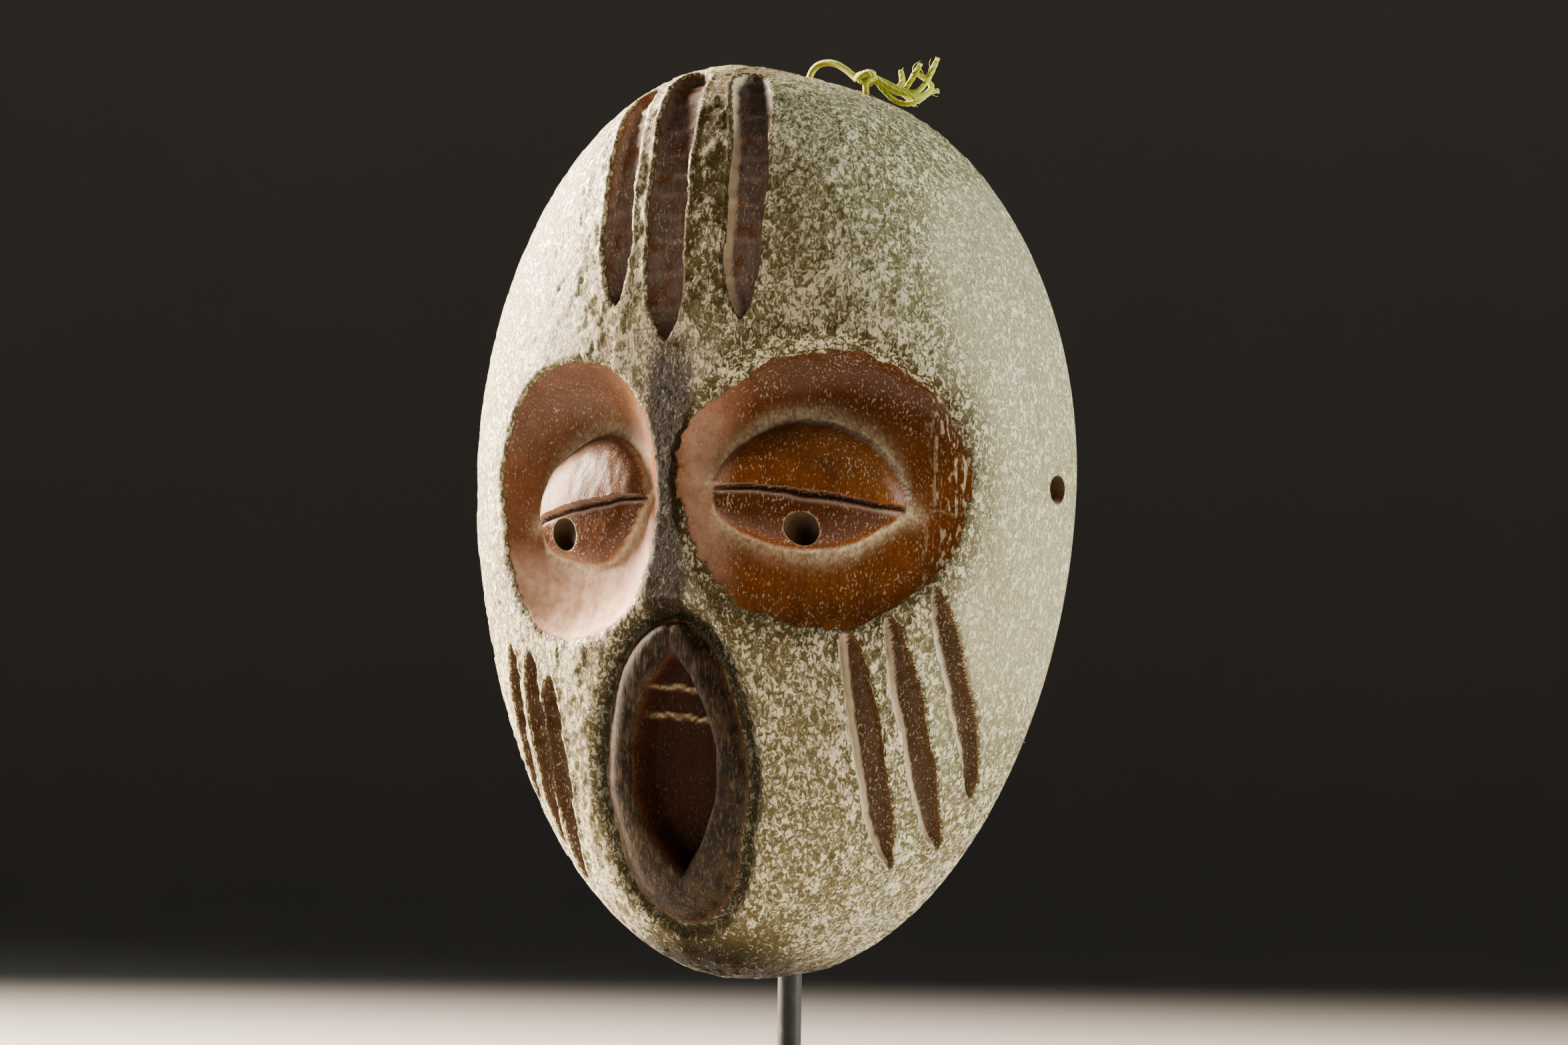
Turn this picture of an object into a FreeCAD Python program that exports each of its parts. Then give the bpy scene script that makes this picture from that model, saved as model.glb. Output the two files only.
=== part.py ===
import FreeCAD, Part
import math
import os
import Sketcher
from FreeCAD import Placement, Rotation, Vector

# A carved wooden face mask with a twine hanging loop, held on a bent-rod display stand.
# Millimetres. +Z is up, the face looks along -Y, and X = 0 is the middle of the face.
# The origin is the middle of the stand's underside, on the surface that it rests on.
# The mask is described in its own frame first: X across the face, "forward" (toward -Y)
# from the plane of its back rim, and Z from the level where the face is widest.

DIMENSIONS = [
    # the mask's outer dome, seen from the front and from the side
    ("half_width", 106.0),
    ("dome_depth", 85.0),
    ("crown_rise", 134.0),
    ("chin_drop", 166.0),
    ("crown_outline_power", 1.99),
    ("chin_outline_power", 1.89),
    ("crown_profile_power", 5.2),
    ("chin_profile_power", 4.7),
    ("crown_slope_back", 0.03),
    ("chin_slope_back", 0.06),
    ("section_power", 2.37),
    # the hollow behind it
    ("side_wall", 11.0),
    ("front_wall", 22.0),
    # the eyes: scooped sockets with a bulging, slit almond in each
    ("socket_x", 46.5),
    ("socket_z", -7.0),
    ("socket_half_width", 44.0),
    ("socket_half_height", 47.0),
    ("socket_bowl_radius", 120.0),
    ("socket_floor_forward", 66.5),
    ("socket_floor_z", 6.0),
    ("socket_turn_out", 17.0),
    ("socket_tilt_up", 6.0),
    ("eye_x", 42.0),
    ("eye_z", -10.0),
    ("eye_forward", 65.0),
    ("eye_half_width", 31.0),
    ("eye_half_height", 22.0),
    ("eye_bulge", 11.5),
    ("eye_slant", 7.5),
    ("lid_slit_width", 1.4),
    ("lid_slit_deep", 2.5),
    ("lid_slit_reach", 28.8),
    ("eye_hole_x", 44.0),
    ("eye_hole_z", -22.0),
    ("eye_hole_radius", 5.25),
    # the mouth: a pointed oval ring of lips round a closed recess
    ("mouth_z", -97.0),
    ("lips_half_width", 28.0),
    ("lips_half_height", 48.0),
    ("mouth_trench_width", 5.0),
    ("mouth_trench_deep", 3.5),
    ("mouth_half_width", 15.0),
    ("mouth_half_height", 34.5),
    ("mouth_deep", 12.0),
    # the gouged marks
    ("gouge_width", 12.5),
    ("gouge_deep", 3.5),
    # round holes through the side walls and the crown
    ("strap_hole_z", -7.0),
    ("strap_hole_forward", 15.0),
    ("strap_hole_radius", 4.5),
    ("twine_hole_radius", 2.6),
    ("twine_hole_forward", 9.0),
    ("twine_hole_inner_x", 10.0),
    ("twine_hole_outer_x", 32.0),
    # the twine
    ("twine_radius", 1.1),
    ("knot_half_length", 4.6),
    ("knot_half_height", 3.4),
    ("knot_sunk", 0.8),
    ("tuft_length", 26.0),
    ("tuft_root_radius", 2.2),
    ("tuft_tip_radius", 8.0),
    # the display stand
    ("rim_y", 30.0),
    ("base_width", 150.0),
    ("base_depth", 140.0),
    ("base_thickness", 8.0),
    ("base_corner_radius", 10.0),
    ("base_edge_chamfer", 0.8),
    ("felt_thickness", 2.0),
    ("felt_inset", 4.0),
    ("chin_clearance", 60.0),
    ("rod_radius", 4.0),
    ("rod_behind_rim", 5.3),
    ("rod_bend_radius", 14.0),
    ("arm_z", 105.2),
    ("hanger_forward", 45.0),
    ("hanger_bar_radius", 3.0),
    ("hanger_arc_radius", 70.0),
    ("hanger_half_angle", 27.0),
    ("sleeve_wall", 1.5),
    ("sleeve_half_angle", 6.5),
    ("chin_sleeve_wall", 0.9),
    ("chin_sleeve_length", 16.0),
    ("chin_sleeve_above_chin", 3.0),
    ("socket_radius", 11.0),
    ("socket_length", 22.0),
    ("socket_chamfer", 1.5),
    ("rod_seat", 13.0),
    ("screw_radius", 3.0),
    ("screw_head_radius", 6.0),
    ("screw_length", 14.0),
    ("screw_hole_clearance", 0.2),
    ("hex_recess_deep", 2.5),
    ("screw_head_height", 3.2),
    ("set_screw_radius", 2.0),
    ("set_screw_z", 15.0),
    ("set_screw_sunk", 0.6),
    ("hex_flat_radius", 1.15),
]

OUTLINE_POINTS = 40
OUTLINE_LEVELS = 10

# Lengths that only have to reach past the wood
DOME_FRONT = 120.0
GOUGE_REACH = 40.0
STRAP_DRILL_REACH = 150.0
TWINE_DRILL_START = 100.0
TWINE_DRILL_LENGTH = 60.0
LID_SLAB_DEPTH = 20.0

# Where the frayed ends leave the knot, from the start of the twine's route, and their direction
TUFT_ROOT_FROM_ROUTE = Vector(3.0, 2.6, 2.4)
TUFT_TOWARD = Vector(17.0, 16.0, 2.5)

# Each gouge: x and z of its middle, length, lean of its top toward +X in degrees, width share
FOREHEAD_GOUGES = [
    (-21.0, 87.0, 84.0, 1.0, 0.9),
    (-1.0, 85.0, 102.0, -1.0, 1.05),
    (24.5, 85.0, 94.0, -3.0, 1.0),
]
CHEEK_GOUGES = [
    (60.5, -88.0, 82.0, 0.0, 0.85),
    (72.0, -84.0, 80.0, 1.5, 0.85),
    (82.0, -72.0, 72.0, 3.0, 0.8),
    (-43.0, -99.0, 70.0, 7.0, 0.8),
    (-54.0, -91.0, 68.0, 4.0, 0.8),
    (-64.0, -83.0, 60.0, 11.0, 0.75),
]

# The twine's route in the mask's frame: x, forward, z. It starts under the knot at the outer
# hole, drops through it, hangs as a loop inside the crown and comes back over to the knot.
TWINE_ROUTE = [
    (32.0, 9.0, 130.5),
    (32.3, 9.0, 125.0),
    (32.2, 9.2, 117.0),
    (33.4, 9.6, 107.0),
    (34.6, 9.4, 96.0),
    (34.2, 8.4, 85.0),
    (31.6, 7.6, 75.5),
    (25.8, 7.2, 68.5),
    (18.2, 7.4, 68.0),
    (12.2, 8.0, 73.5),
    (9.4, 8.6, 82.5),
    (8.8, 9.2, 93.0),
    (9.2, 9.4, 104.0),
    (9.9, 9.2, 114.5),
    (10.1, 9.0, 123.5),
    (9.9, 9.0, 132.2),
    (12.4, 8.8, 138.6),
    (18.8, 8.6, 139.6),
    (25.0, 8.6, 136.2),
    (28.6, 8.8, 132.6),
]

document = FreeCAD.newDocument("carved_mask_on_stand")
sheet = document.addObject("Spreadsheet::Sheet", "Sizes")
for row, (alias, value) in enumerate(DIMENSIONS, start=1):
    sheet.set("A%d" % row, alias)
    sheet.set("B%d" % row, "%g" % value)
    sheet.setAlias("B%d" % row, alias)
document.recompute()
size = {alias: float(sheet.get(alias)) for alias, value in DIMENSIONS}

BASE_TOP = size["felt_thickness"] + size["base_thickness"]
MASK_Z = BASE_TOP + size["chin_clearance"] + size["chin_drop"]
MASK_PLACE = Vector(0, size["rim_y"], MASK_Z)
ROD_Y = size["rim_y"] + size["rod_behind_rim"]


# ---------------------------------------------------------------- helpers

def bind(thing, **expressions):
    """Ties an object's properties to expressions on the sheet."""
    for name, expression in expressions.items():
        thing.setExpression(name.replace("__", "."), expression)


def primitive(kind, name, base=Vector(0, 0, 0), rotation=Rotation(), **expressions):
    """A Part primitive whose sizes follow the sheet."""
    thing = document.addObject("Part::" + kind, name)
    thing.Placement = Placement(base, rotation)
    bind(thing, **expressions)
    return thing


def cut(name, base, tool):
    result = document.addObject("Part::Cut", name)
    result.Base = base
    result.Tool = tool
    return result


def fuse(name, shapes):
    result = document.addObject("Part::MultiFuse", name)
    result.Shapes = shapes
    return result


def feature(name, shape, base):
    """A sub-part whose form is worked out here, from the sheet's sizes."""
    result = document.addObject("Part::Feature", name)
    result.Shape = shape
    result.Placement = Placement(base, Rotation()).multiply(shape.Placement)
    return result


def origin_plane(body, role):
    return next(plane for plane in body.Origin.OriginFeatures if plane.Role == role)


def sketch_on(body, name, role):
    sketch = body.newObject("Sketcher::SketchObject", name)
    sketch.AttachmentSupport = (origin_plane(body, role), [""])
    sketch.MapMode = "FlatFace"
    return sketch


# ---------------------------------------------------------------- the mask's form

def dome_height(x, z, side, front):
    """How far the dome stands forward of the rim plane at one point of the front view.

    side and front say how far this dome lies inside the outer one, across and forward.
    """
    end = "crown" if z > 0 else "chin"
    reach = size["crown_rise" if z > 0 else "chin_drop"] - side
    outline_power = size[end + "_outline_power"]
    profile_power = size[end + "_profile_power"]
    section_power = size["section_power"]
    share = min(1.0, abs(z) / reach)
    half_width = (size["half_width"] - side) * (1 - share ** outline_power) ** (1 / outline_power)
    if abs(x) >= half_width:
        return 0.0
    depth = (size["dome_depth"] - front) * (1 - share ** profile_power) ** (1 / profile_power)
    depth *= 1 - size[end + "_slope_back"] * share ** 2
    return depth * (1 - (abs(x) / half_width) ** section_power) ** (1 / section_power)


def level_wire(height, side, front, offset):
    """The closed curve along which a dome has one height, drawn that far forward."""
    points = []
    for step in range(OUTLINE_POINTS):
        angle = 2 * math.pi * step / OUTLINE_POINTS
        inside = 0.0
        outside = 2 * size["chin_drop"]
        while outside - inside > 0.001:
            middle = (inside + outside) / 2
            x = middle * math.cos(angle)
            z = middle * math.sin(angle)
            if dome_height(x, z, side, front) > height:
                inside = middle
            else:
                outside = middle
        points.append(Vector(inside * math.cos(angle), -height - offset, inside * math.sin(angle)))
    curve = Part.BSplineCurve()
    curve.interpolate(points, PeriodicFlag=True)
    return Part.Wire([curve.toShape()])


def dome(side, front, below_rim):
    """A closed dome over the rim plane, carried straight back below it by a short skirt."""
    wires = []
    if below_rim > 0:
        wires.append(level_wire(0.0, side, front, -below_rim))
    for level in range(OUTLINE_LEVELS):
        share = math.sin(math.pi / 2 * level / OUTLINE_LEVELS)
        wires.append(level_wire(share * (size["dome_depth"] - front), side, front, 0.0))
    return Part.makeLoft(wires, True, False)


def ellipsoid(centre, half_sizes, turn):
    """An ellipsoid with its half sizes along X, Y and Z, turned about Z by degrees."""
    matrix = FreeCAD.Matrix()
    matrix.scale(*half_sizes)
    shape = Part.makeSphere(1.0).transformGeometry(matrix)
    shape.Placement = Placement(centre, Rotation(Vector(0, 0, 1), turn))
    return shape


def lens_prism(half_width, half_height, length):
    """A pointed oval bounded by two arcs, upright in the XZ plane and carried along -Y."""
    top = Vector(0, 0, half_height)
    bottom = Vector(0, 0, -half_height)
    right = Part.Arc(bottom, Vector(half_width, 0, 0), top).toShape()
    left = Part.Arc(top, Vector(-half_width, 0, 0), bottom).toShape()
    return Part.Face(Part.Wire([right, left])).extrude(Vector(0, -length, 0))


def mouth_prism(half_width, half_height):
    prism = lens_prism(half_width, half_height, DOME_FRONT)
    prism.Placement = Placement(Vector(0, 0, size["mouth_z"]), Rotation())
    return prism


def dome_point(x, z):
    return Vector(x, -dome_height(x, z, 0.0, 0.0), z)


def gouge_prism(x, z, length, lean, width_share):
    """A pointed oval that stands square to the dome, its length up the surface."""
    step = 2.0
    across = dome_point(x + step, z) - dome_point(x - step, z)
    upward = dome_point(x, z + step) - dome_point(x, z - step)
    outward = across.cross(upward).normalize()
    upright = Rotation(Vector(0, 0, 0), outward * -1, upward, "YZX")
    prism = lens_prism(size["gouge_width"] * width_share / 2, length / 2, GOUGE_REACH)
    turn = upright * Rotation(Vector(0, 1, 0), lean)
    prism.Placement = Placement(dome_point(x, z) - outward * (GOUGE_REACH / 2), turn)
    return prism


def socket_cutter():
    """An upright oval bowl, deepest under the brow and running out at the cheek."""
    half_width = size["socket_half_width"]
    half_height = size["socket_half_height"]
    round_prism = Part.makeCylinder(1.0, DOME_FRONT, Vector(0, 0, 0), Vector(0, -1, 0))
    matrix = FreeCAD.Matrix()
    matrix.scale(half_width, 1.0, half_height)
    prism = round_prism.transformGeometry(matrix)
    prism.Placement = Placement(Vector(size["socket_x"], 0, size["socket_z"]), Rotation())
    turn = math.radians(size["socket_turn_out"])
    tilt = math.radians(size["socket_tilt_up"])
    outward = Vector(math.sin(turn) * math.cos(tilt), -math.cos(turn) * math.cos(tilt), math.sin(tilt))
    floor = Vector(size["socket_x"], -size["socket_floor_forward"], size["socket_floor_z"])
    ball = Part.makeSphere(size["socket_bowl_radius"], floor + outward * size["socket_bowl_radius"])
    return prism.common(ball)


def eye_solid(shrink):
    """The almond bulge of the eye, or one smaller all over by shrink."""
    half_sizes = (
        size["eye_half_width"] - shrink,
        size["eye_bulge"] - shrink,
        size["eye_half_height"] - shrink,
    )
    centre = Vector(size["eye_x"], -size["eye_forward"], size["eye_z"])
    return ellipsoid(centre, half_sizes, size["socket_turn_out"])


def lid_slit():
    """The thin closed line between the lids, slanting down toward the temple."""
    reach = size["lid_slit_reach"]
    corner = Vector(-reach, -LID_SLAB_DEPTH, 0)
    slab = Part.makeBox(2 * reach, LID_SLAB_DEPTH, size["lid_slit_width"], corner)
    slant = Rotation(Vector(0, 1, 0), size["eye_slant"])
    turn = Rotation(Vector(0, 0, 1), size["socket_turn_out"])
    centre = Vector(size["eye_x"], -size["eye_forward"], size["eye_z"])
    slab.Placement = Placement(centre, turn.multiply(slant))
    return slab.cut(eye_solid(size["lid_slit_deep"]))


def both_sides(shape):
    """A shape of the right side and its mirror image on the left."""
    return [shape, shape.mirror(Vector(0, 0, 0), Vector(1, 0, 0))]


def shallow_cutter(prisms, deep):
    """The part of some prisms that lies outside a dome inset by one depth."""
    floor = dome(deep, deep, 0.0)
    return [prism.cut(floor) for prism in prisms]


def gouge_prisms():
    return [gouge_prism(*gouge) for gouge in FOREHEAD_GOUGES + CHEEK_GOUGES]


def mouth_prisms():
    """The sunken ring round the lips, and the opening inside them."""
    lips_width = size["lips_half_width"]
    lips_height = size["lips_half_height"]
    trench = size["mouth_trench_width"]
    ring = mouth_prism(lips_width + trench, lips_height + trench).cut(mouth_prism(lips_width, lips_height))
    opening = mouth_prism(size["mouth_half_width"], size["mouth_half_height"])
    return ring, opening


def strap_holes():
    """One straight drilling through both side walls."""
    start = Vector(-STRAP_DRILL_REACH, -size["strap_hole_forward"], size["strap_hole_z"])
    return Part.makeCylinder(size["strap_hole_radius"], 2 * STRAP_DRILL_REACH, start, Vector(1, 0, 0))


def twine_holes():
    holes = []
    for x in (size["twine_hole_inner_x"], size["twine_hole_outer_x"]):
        start = Vector(x, -size["twine_hole_forward"], TWINE_DRILL_START)
        hole = Part.makeCylinder(size["twine_hole_radius"], TWINE_DRILL_LENGTH, start, Vector(0, 0, 1))
        holes.append(hole)
    return holes


def eye_hole():
    start = Vector(size["eye_hole_x"], 0, size["eye_hole_z"])
    return Part.makeCylinder(size["eye_hole_radius"], DOME_FRONT, start, Vector(0, -1, 0))


def mask_shell():
    """One block of wood: a hollow dome with everything on it carved in."""
    shell = dome(0.0, 0.0, 0.0)
    shell = shell.cut(both_sides(socket_cutter()))
    shell = shell.fuse(both_sides(eye_solid(0.0)))
    shell = shell.cut(dome(size["side_wall"], size["front_wall"], 1.0))
    shell = shell.cut(both_sides(lid_slit()) + both_sides(eye_hole()))
    ring, opening = mouth_prisms()
    shell = shell.cut(shallow_cutter([ring], size["mouth_trench_deep"]))
    shell = shell.cut(shallow_cutter([opening], size["mouth_deep"]))
    shell = shell.cut(shallow_cutter(gouge_prisms(), size["gouge_deep"]))
    shell = shell.cut([strap_holes()] + twine_holes())
    solids = sorted(shell.Solids, key=lambda solid: solid.Volume)
    return feature("mask_shell", solids[-1], MASK_PLACE)


# ---------------------------------------------------------------- the twine

def route_point(place):
    x, forward, z = place
    return Vector(x, -forward, z)


def twine_spine(points):
    """Straight runs joined by tangent arcs, each as large as its two runs allow."""
    edges = []
    radii = []
    start = points[0]
    for before, corner, after in zip(points, points[1:], points[2:]):
        inward = (before - corner).normalize()
        onward = (after - corner).normalize()
        half_turn = (math.pi - inward.getAngle(onward)) / 2
        shorter = min((before - corner).Length, (after - corner).Length)
        setback = 0.45 * shorter
        radius = setback / math.tan(half_turn)
        arc_start = corner + inward * setback
        arc_end = corner + onward * setback
        middle_way = (inward + onward).normalize()
        arc_middle = corner + middle_way * (radius / math.cos(half_turn) - radius)
        edges.append(Part.LineSegment(start, arc_start).toShape())
        edges.append(Part.Arc(arc_start, arc_middle, arc_end).toShape())
        radii.append(radius)
        start = arc_end
    edges.append(Part.LineSegment(start, points[-1]).toShape())
    print("twine arc radii:", " ".join("%.1f" % radius for radius in radii))
    return Part.Wire(edges)


def hanging_twine():
    points = [route_point(place) for place in TWINE_ROUTE]
    spine = twine_spine(points)
    circle = Part.Circle(points[0], points[1] - points[0], size["twine_radius"])
    section = Part.Wire([circle.toShape()])
    tube = spine.makePipeShell([section], True, True)
    expected = math.pi * size["twine_radius"] ** 2 * spine.Length
    print("twine length %.1f, volume %.1f of %.1f" % (spine.Length, tube.Volume, expected))
    return feature("hanging_twine", tube, MASK_PLACE)


def twine_knot():
    """The twine's two ends tied together over the outer hole."""
    x, forward, z = TWINE_ROUTE[0]
    centre = Vector(x, -forward, z + size["knot_half_height"] - size["knot_sunk"])
    half_sizes = (size["knot_half_length"], size["knot_half_height"], size["knot_half_height"])
    return feature("twine_knot", ellipsoid(centre, half_sizes, 0.0), MASK_PLACE)


def twine_tuft():
    """The outer shape of the frayed ends, which stand up and back from the knot."""
    x, forward, z = TWINE_ROUTE[0]
    root = Vector(x, -forward, z) + TUFT_ROOT_FROM_ROUTE
    radii = (size["tuft_root_radius"], size["tuft_tip_radius"])
    tuft = Part.makeCone(*radii, size["tuft_length"], root, TUFT_TOWARD)
    return feature("twine_tuft", tuft, MASK_PLACE)


# ---------------------------------------------------------------- the stand

def stand_base():
    """A steel plate with rounded corners, countersunk from below for the socket's screw."""
    body = document.addObject("PartDesign::Body", "stand_base")
    plan = sketch_on(body, "base_plan", "XY_Plane")
    half_x = size["base_width"] / 2
    half_y = size["base_depth"] / 2
    signs = [(-1, -1), (1, -1), (1, 1), (-1, 1)]
    corners = [Vector(sign_x * half_x, sign_y * half_y) for sign_x, sign_y in signs]
    for start, end in zip(corners, corners[1:] + corners[:1]):
        plan.addGeometry(Part.LineSegment(start, end))
    for side in range(4):
        plan.addConstraint(Sketcher.Constraint("Coincident", side, 2, (side + 1) % 4, 1))
    plan.addConstraint(Sketcher.Constraint("Horizontal", 0))
    plan.addConstraint(Sketcher.Constraint("Horizontal", 2))
    plan.addConstraint(Sketcher.Constraint("Vertical", 1))
    plan.addConstraint(Sketcher.Constraint("Vertical", 3))
    plan.addConstraint(Sketcher.Constraint("Symmetric", 0, 1, 1, 2, -1, 1))
    width = plan.addConstraint(Sketcher.Constraint("DistanceX", 0, 1, 0, 2, size["base_width"]))
    depth = plan.addConstraint(Sketcher.Constraint("DistanceY", 1, 1, 1, 2, size["base_depth"]))
    plan.renameConstraint(width, "width")
    plan.renameConstraint(depth, "depth")
    bind(plan, Constraints__width="Sizes.base_width", Constraints__depth="Sizes.base_depth")
    pad = body.newObject("PartDesign::Pad", "base_pad")
    pad.Profile = plan
    bind(pad, Length="Sizes.base_thickness")
    document.recompute()
    uprights = []
    for number, edge in enumerate(pad.Shape.Edges, start=1):
        if edge.BoundBox.ZLength > size["base_thickness"] / 2:
            uprights.append("Edge%d" % number)
    rounded = body.newObject("PartDesign::Fillet", "base_corners")
    rounded.Base = (pad, uprights)
    bind(rounded, Radius="Sizes.base_corner_radius")
    document.recompute()
    rim = [
        "Edge%d" % number
        for number, edge in enumerate(rounded.Shape.Edges, start=1)
        if edge.BoundBox.ZMin > size["base_thickness"] - 0.01
    ]
    eased = body.newObject("PartDesign::Chamfer", "base_edge")
    eased.Base = (rounded, rim)
    bind(eased, Size="Sizes.base_edge_chamfer")
    document.recompute()
    hole_plan = sketch_on(body, "screw_hole_plan", "XY_Plane")
    hole_radius = size["screw_radius"] + size["screw_hole_clearance"]
    hole_plan.addGeometry(Part.Circle(Vector(0, ROD_Y, 0), Vector(0, 0, 1), hole_radius))
    hole = body.newObject("PartDesign::Pocket", "screw_hole")
    hole.Profile = hole_plan
    hole.Type = "ThroughAll"
    hole.Reversed = True
    document.recompute()
    sink = body.newObject("PartDesign::Chamfer", "screw_countersink")
    mouth = [
        "Edge%d" % number
        for number, edge in enumerate(hole.Shape.Edges, start=1)
        if edge.BoundBox.ZMax < 0.01 and edge.BoundBox.XLength < 2 * size["screw_head_radius"]
    ]
    sink.Base = (hole, mouth)
    bind(sink, Size="Sizes.screw_head_height")
    body.Tip = sink
    body.Placement = Placement(Vector(0, 0, size["felt_thickness"]), Rotation())
    return body


def base_felt():
    """The felt sheet glued under the plate, which is what the stand rests on."""
    felt = primitive(
        "Box", "base_felt",
        Vector(-size["base_width"] / 2 + size["felt_inset"], -size["base_depth"] / 2 + size["felt_inset"], 0),
        Length="Sizes.base_width - 2 * Sizes.felt_inset",
        Width="Sizes.base_depth - 2 * Sizes.felt_inset",
        Height="Sizes.felt_thickness",
    )
    return felt


def bar_torus(name, radius_expression, start, sweep):
    """A stretch of the hanger bar's arc, which crowns upward across the face."""
    centre = MASK_PLACE + Vector(0, -size["hanger_forward"], size["arm_z"] - size["hanger_arc_radius"])
    thing = primitive("Torus", name, centre, Rotation(Vector(1, 0, 0), 90))
    bind(thing, Radius1="Sizes.hanger_arc_radius", Radius2=radius_expression)
    thing.Angle3 = sweep
    thing.Placement = Placement(centre, Rotation(Vector(1, 0, 0), 90) * Rotation(Vector(0, 0, 1), start))
    return thing


def hanger_bar():
    """The cross bar on the end of the arm, bent to follow the inside of the crown."""
    half = size["hanger_half_angle"]
    return bar_torus("hanger_bar", "Sizes.hanger_bar_radius", 90 - half, 2 * half)


def hanger_sleeve(name, middle):
    """A rubber sleeve on one end of the hanger bar, which the wood rests on."""
    half = size["sleeve_half_angle"]
    outer = bar_torus(name + "_outside", "Sizes.hanger_bar_radius + Sizes.sleeve_wall", middle - half, 2 * half)
    inner = bar_torus(name + "_bore", "Sizes.hanger_bar_radius", middle - half - 1, 2 * half + 2)
    return cut(name, outer, inner)


def support_rod():
    """A rod up from its socket, bent forward over the rim, its end coped to the hanger bar."""
    bend_r = size["rod_bend_radius"]
    arm_z = MASK_Z + size["arm_z"]
    rod_bottom = BASE_TOP + size["socket_length"] - size["rod_seat"]
    upright = primitive("Cylinder", "rod_upright", Vector(0, ROD_Y, rod_bottom), Radius="Sizes.rod_radius")
    upright.Height = arm_z - bend_r - rod_bottom
    elbow = primitive(
        "Torus", "rod_elbow", Vector(0, ROD_Y - bend_r, arm_z - bend_r),
        Radius1="Sizes.rod_bend_radius", Radius2="Sizes.rod_radius",
    )
    elbow.Angle3 = 90
    elbow.Placement.Rotation = Rotation(Vector(0, 1, 0), Vector(0, 0, 1), Vector(1, 0, 0), "XYZ")
    arm = primitive("Cylinder", "rod_arm", Vector(0, ROD_Y - bend_r, arm_z), Radius="Sizes.rod_radius")
    arm.Placement.Rotation = Rotation(Vector(1, 0, 0), 90)
    bind(arm, Height="Sizes.rod_behind_rim + Sizes.hanger_forward - Sizes.rod_bend_radius")
    whole = fuse("rod_whole", [upright, elbow, arm])
    half = size["hanger_half_angle"]
    coping = bar_torus("rod_coping", "Sizes.hanger_bar_radius", 90 - half, 2 * half)
    return cut("support_rod", whole, coping)


def chin_sleeve():
    """A rubber sleeve on the rod where the back of the chin leans."""
    z = BASE_TOP + size["chin_clearance"] + size["chin_sleeve_above_chin"]
    outer = primitive(
        "Cylinder", "chin_sleeve_outside", Vector(0, ROD_Y, z),
        Radius="Sizes.rod_radius + Sizes.chin_sleeve_wall", Height="Sizes.chin_sleeve_length",
    )
    inner = primitive(
        "Cylinder", "chin_sleeve_bore", Vector(0, ROD_Y, z),
        Radius="Sizes.rod_radius", Height="Sizes.chin_sleeve_length",
    )
    return cut("chin_sleeve", outer, inner)


def rod_socket():
    """A turned boss: the rod drops in from above, the base's screw enters from below."""
    body = document.addObject("PartDesign::Body", "rod_socket")
    half = sketch_on(body, "socket_half", "XZ_Plane")
    radius = size["socket_radius"]
    length = size["socket_length"]
    chamfer = size["socket_chamfer"]
    seat = length - size["rod_seat"]
    screw = size["screw_radius"]
    rod = size["rod_radius"]
    outline = [
        Vector(screw, 0), Vector(radius, 0), Vector(radius, length - chamfer),
        Vector(radius - chamfer, length), Vector(rod, length), Vector(rod, seat), Vector(screw, seat),
    ]
    for start, end in zip(outline, outline[1:] + outline[:1]):
        half.addGeometry(Part.LineSegment(start, end))
    turned = body.newObject("PartDesign::Revolution", "socket_turned")
    turned.Profile = half
    turned.ReferenceAxis = (half, ["V_Axis"])
    turned.Angle = 360
    document.recompute()
    side = sketch_on(body, "set_screw_plan", "XZ_Plane")
    middle = Vector(0, size["set_screw_z"], 0)
    side.addGeometry(Part.Circle(middle, Vector(0, 0, 1), size["set_screw_radius"]))
    tapped = body.newObject("PartDesign::Pocket", "set_screw_hole")
    tapped.Profile = side
    tapped.Type = "Length"
    bind(tapped, Length="Sizes.socket_radius + 1")
    tapped.Reversed = False
    document.recompute()
    body.Tip = tapped
    body.Placement = Placement(Vector(0, ROD_Y, BASE_TOP), Rotation())
    return body


def hex_recess(name, base, rotation, depth):
    recess = primitive("Prism", name, base, rotation, Circumradius="Sizes.hex_flat_radius")
    recess.Polygon = 6
    recess.Height = depth
    return recess


def socket_set_screw():
    """The grub screw at the back of the socket, which clamps the rod."""
    z = BASE_TOP + size["set_screw_z"]
    toward_back = Rotation(Vector(1, 0, 0), -90)
    length = size["socket_radius"] - size["rod_radius"] - size["set_screw_sunk"]
    start = Vector(0, ROD_Y + size["rod_radius"], z)
    shank = primitive("Cylinder", "set_screw_shank", start, toward_back, Radius="Sizes.set_screw_radius")
    shank.Height = length
    recess_start = start + Vector(0, length - size["hex_recess_deep"], 0)
    recess = hex_recess("set_screw_recess", recess_start, toward_back, 2 * size["hex_recess_deep"])
    return cut("socket_set_screw", shank, recess)


def base_screw():
    """The countersunk screw that holds the socket down on the plate."""
    bottom = Vector(0, ROD_Y, size["felt_thickness"])
    head = primitive(
        "Cone", "base_screw_head", bottom,
        Radius1="Sizes.screw_radius + Sizes.screw_head_height", Radius2="Sizes.screw_radius",
        Height="Sizes.screw_head_height",
    )
    shank = primitive(
        "Cylinder", "base_screw_shank", bottom,
        Radius="Sizes.screw_radius", Height="Sizes.screw_length",
    )
    recess = hex_recess("base_screw_recess", bottom, Rotation(), size["hex_recess_deep"])
    bind(recess, Circumradius="Sizes.hex_flat_radius * 2")
    return cut("base_screw", fuse("base_screw_blank", [head, shank]), recess)


# ---------------------------------------------------------------- building and writing

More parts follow.
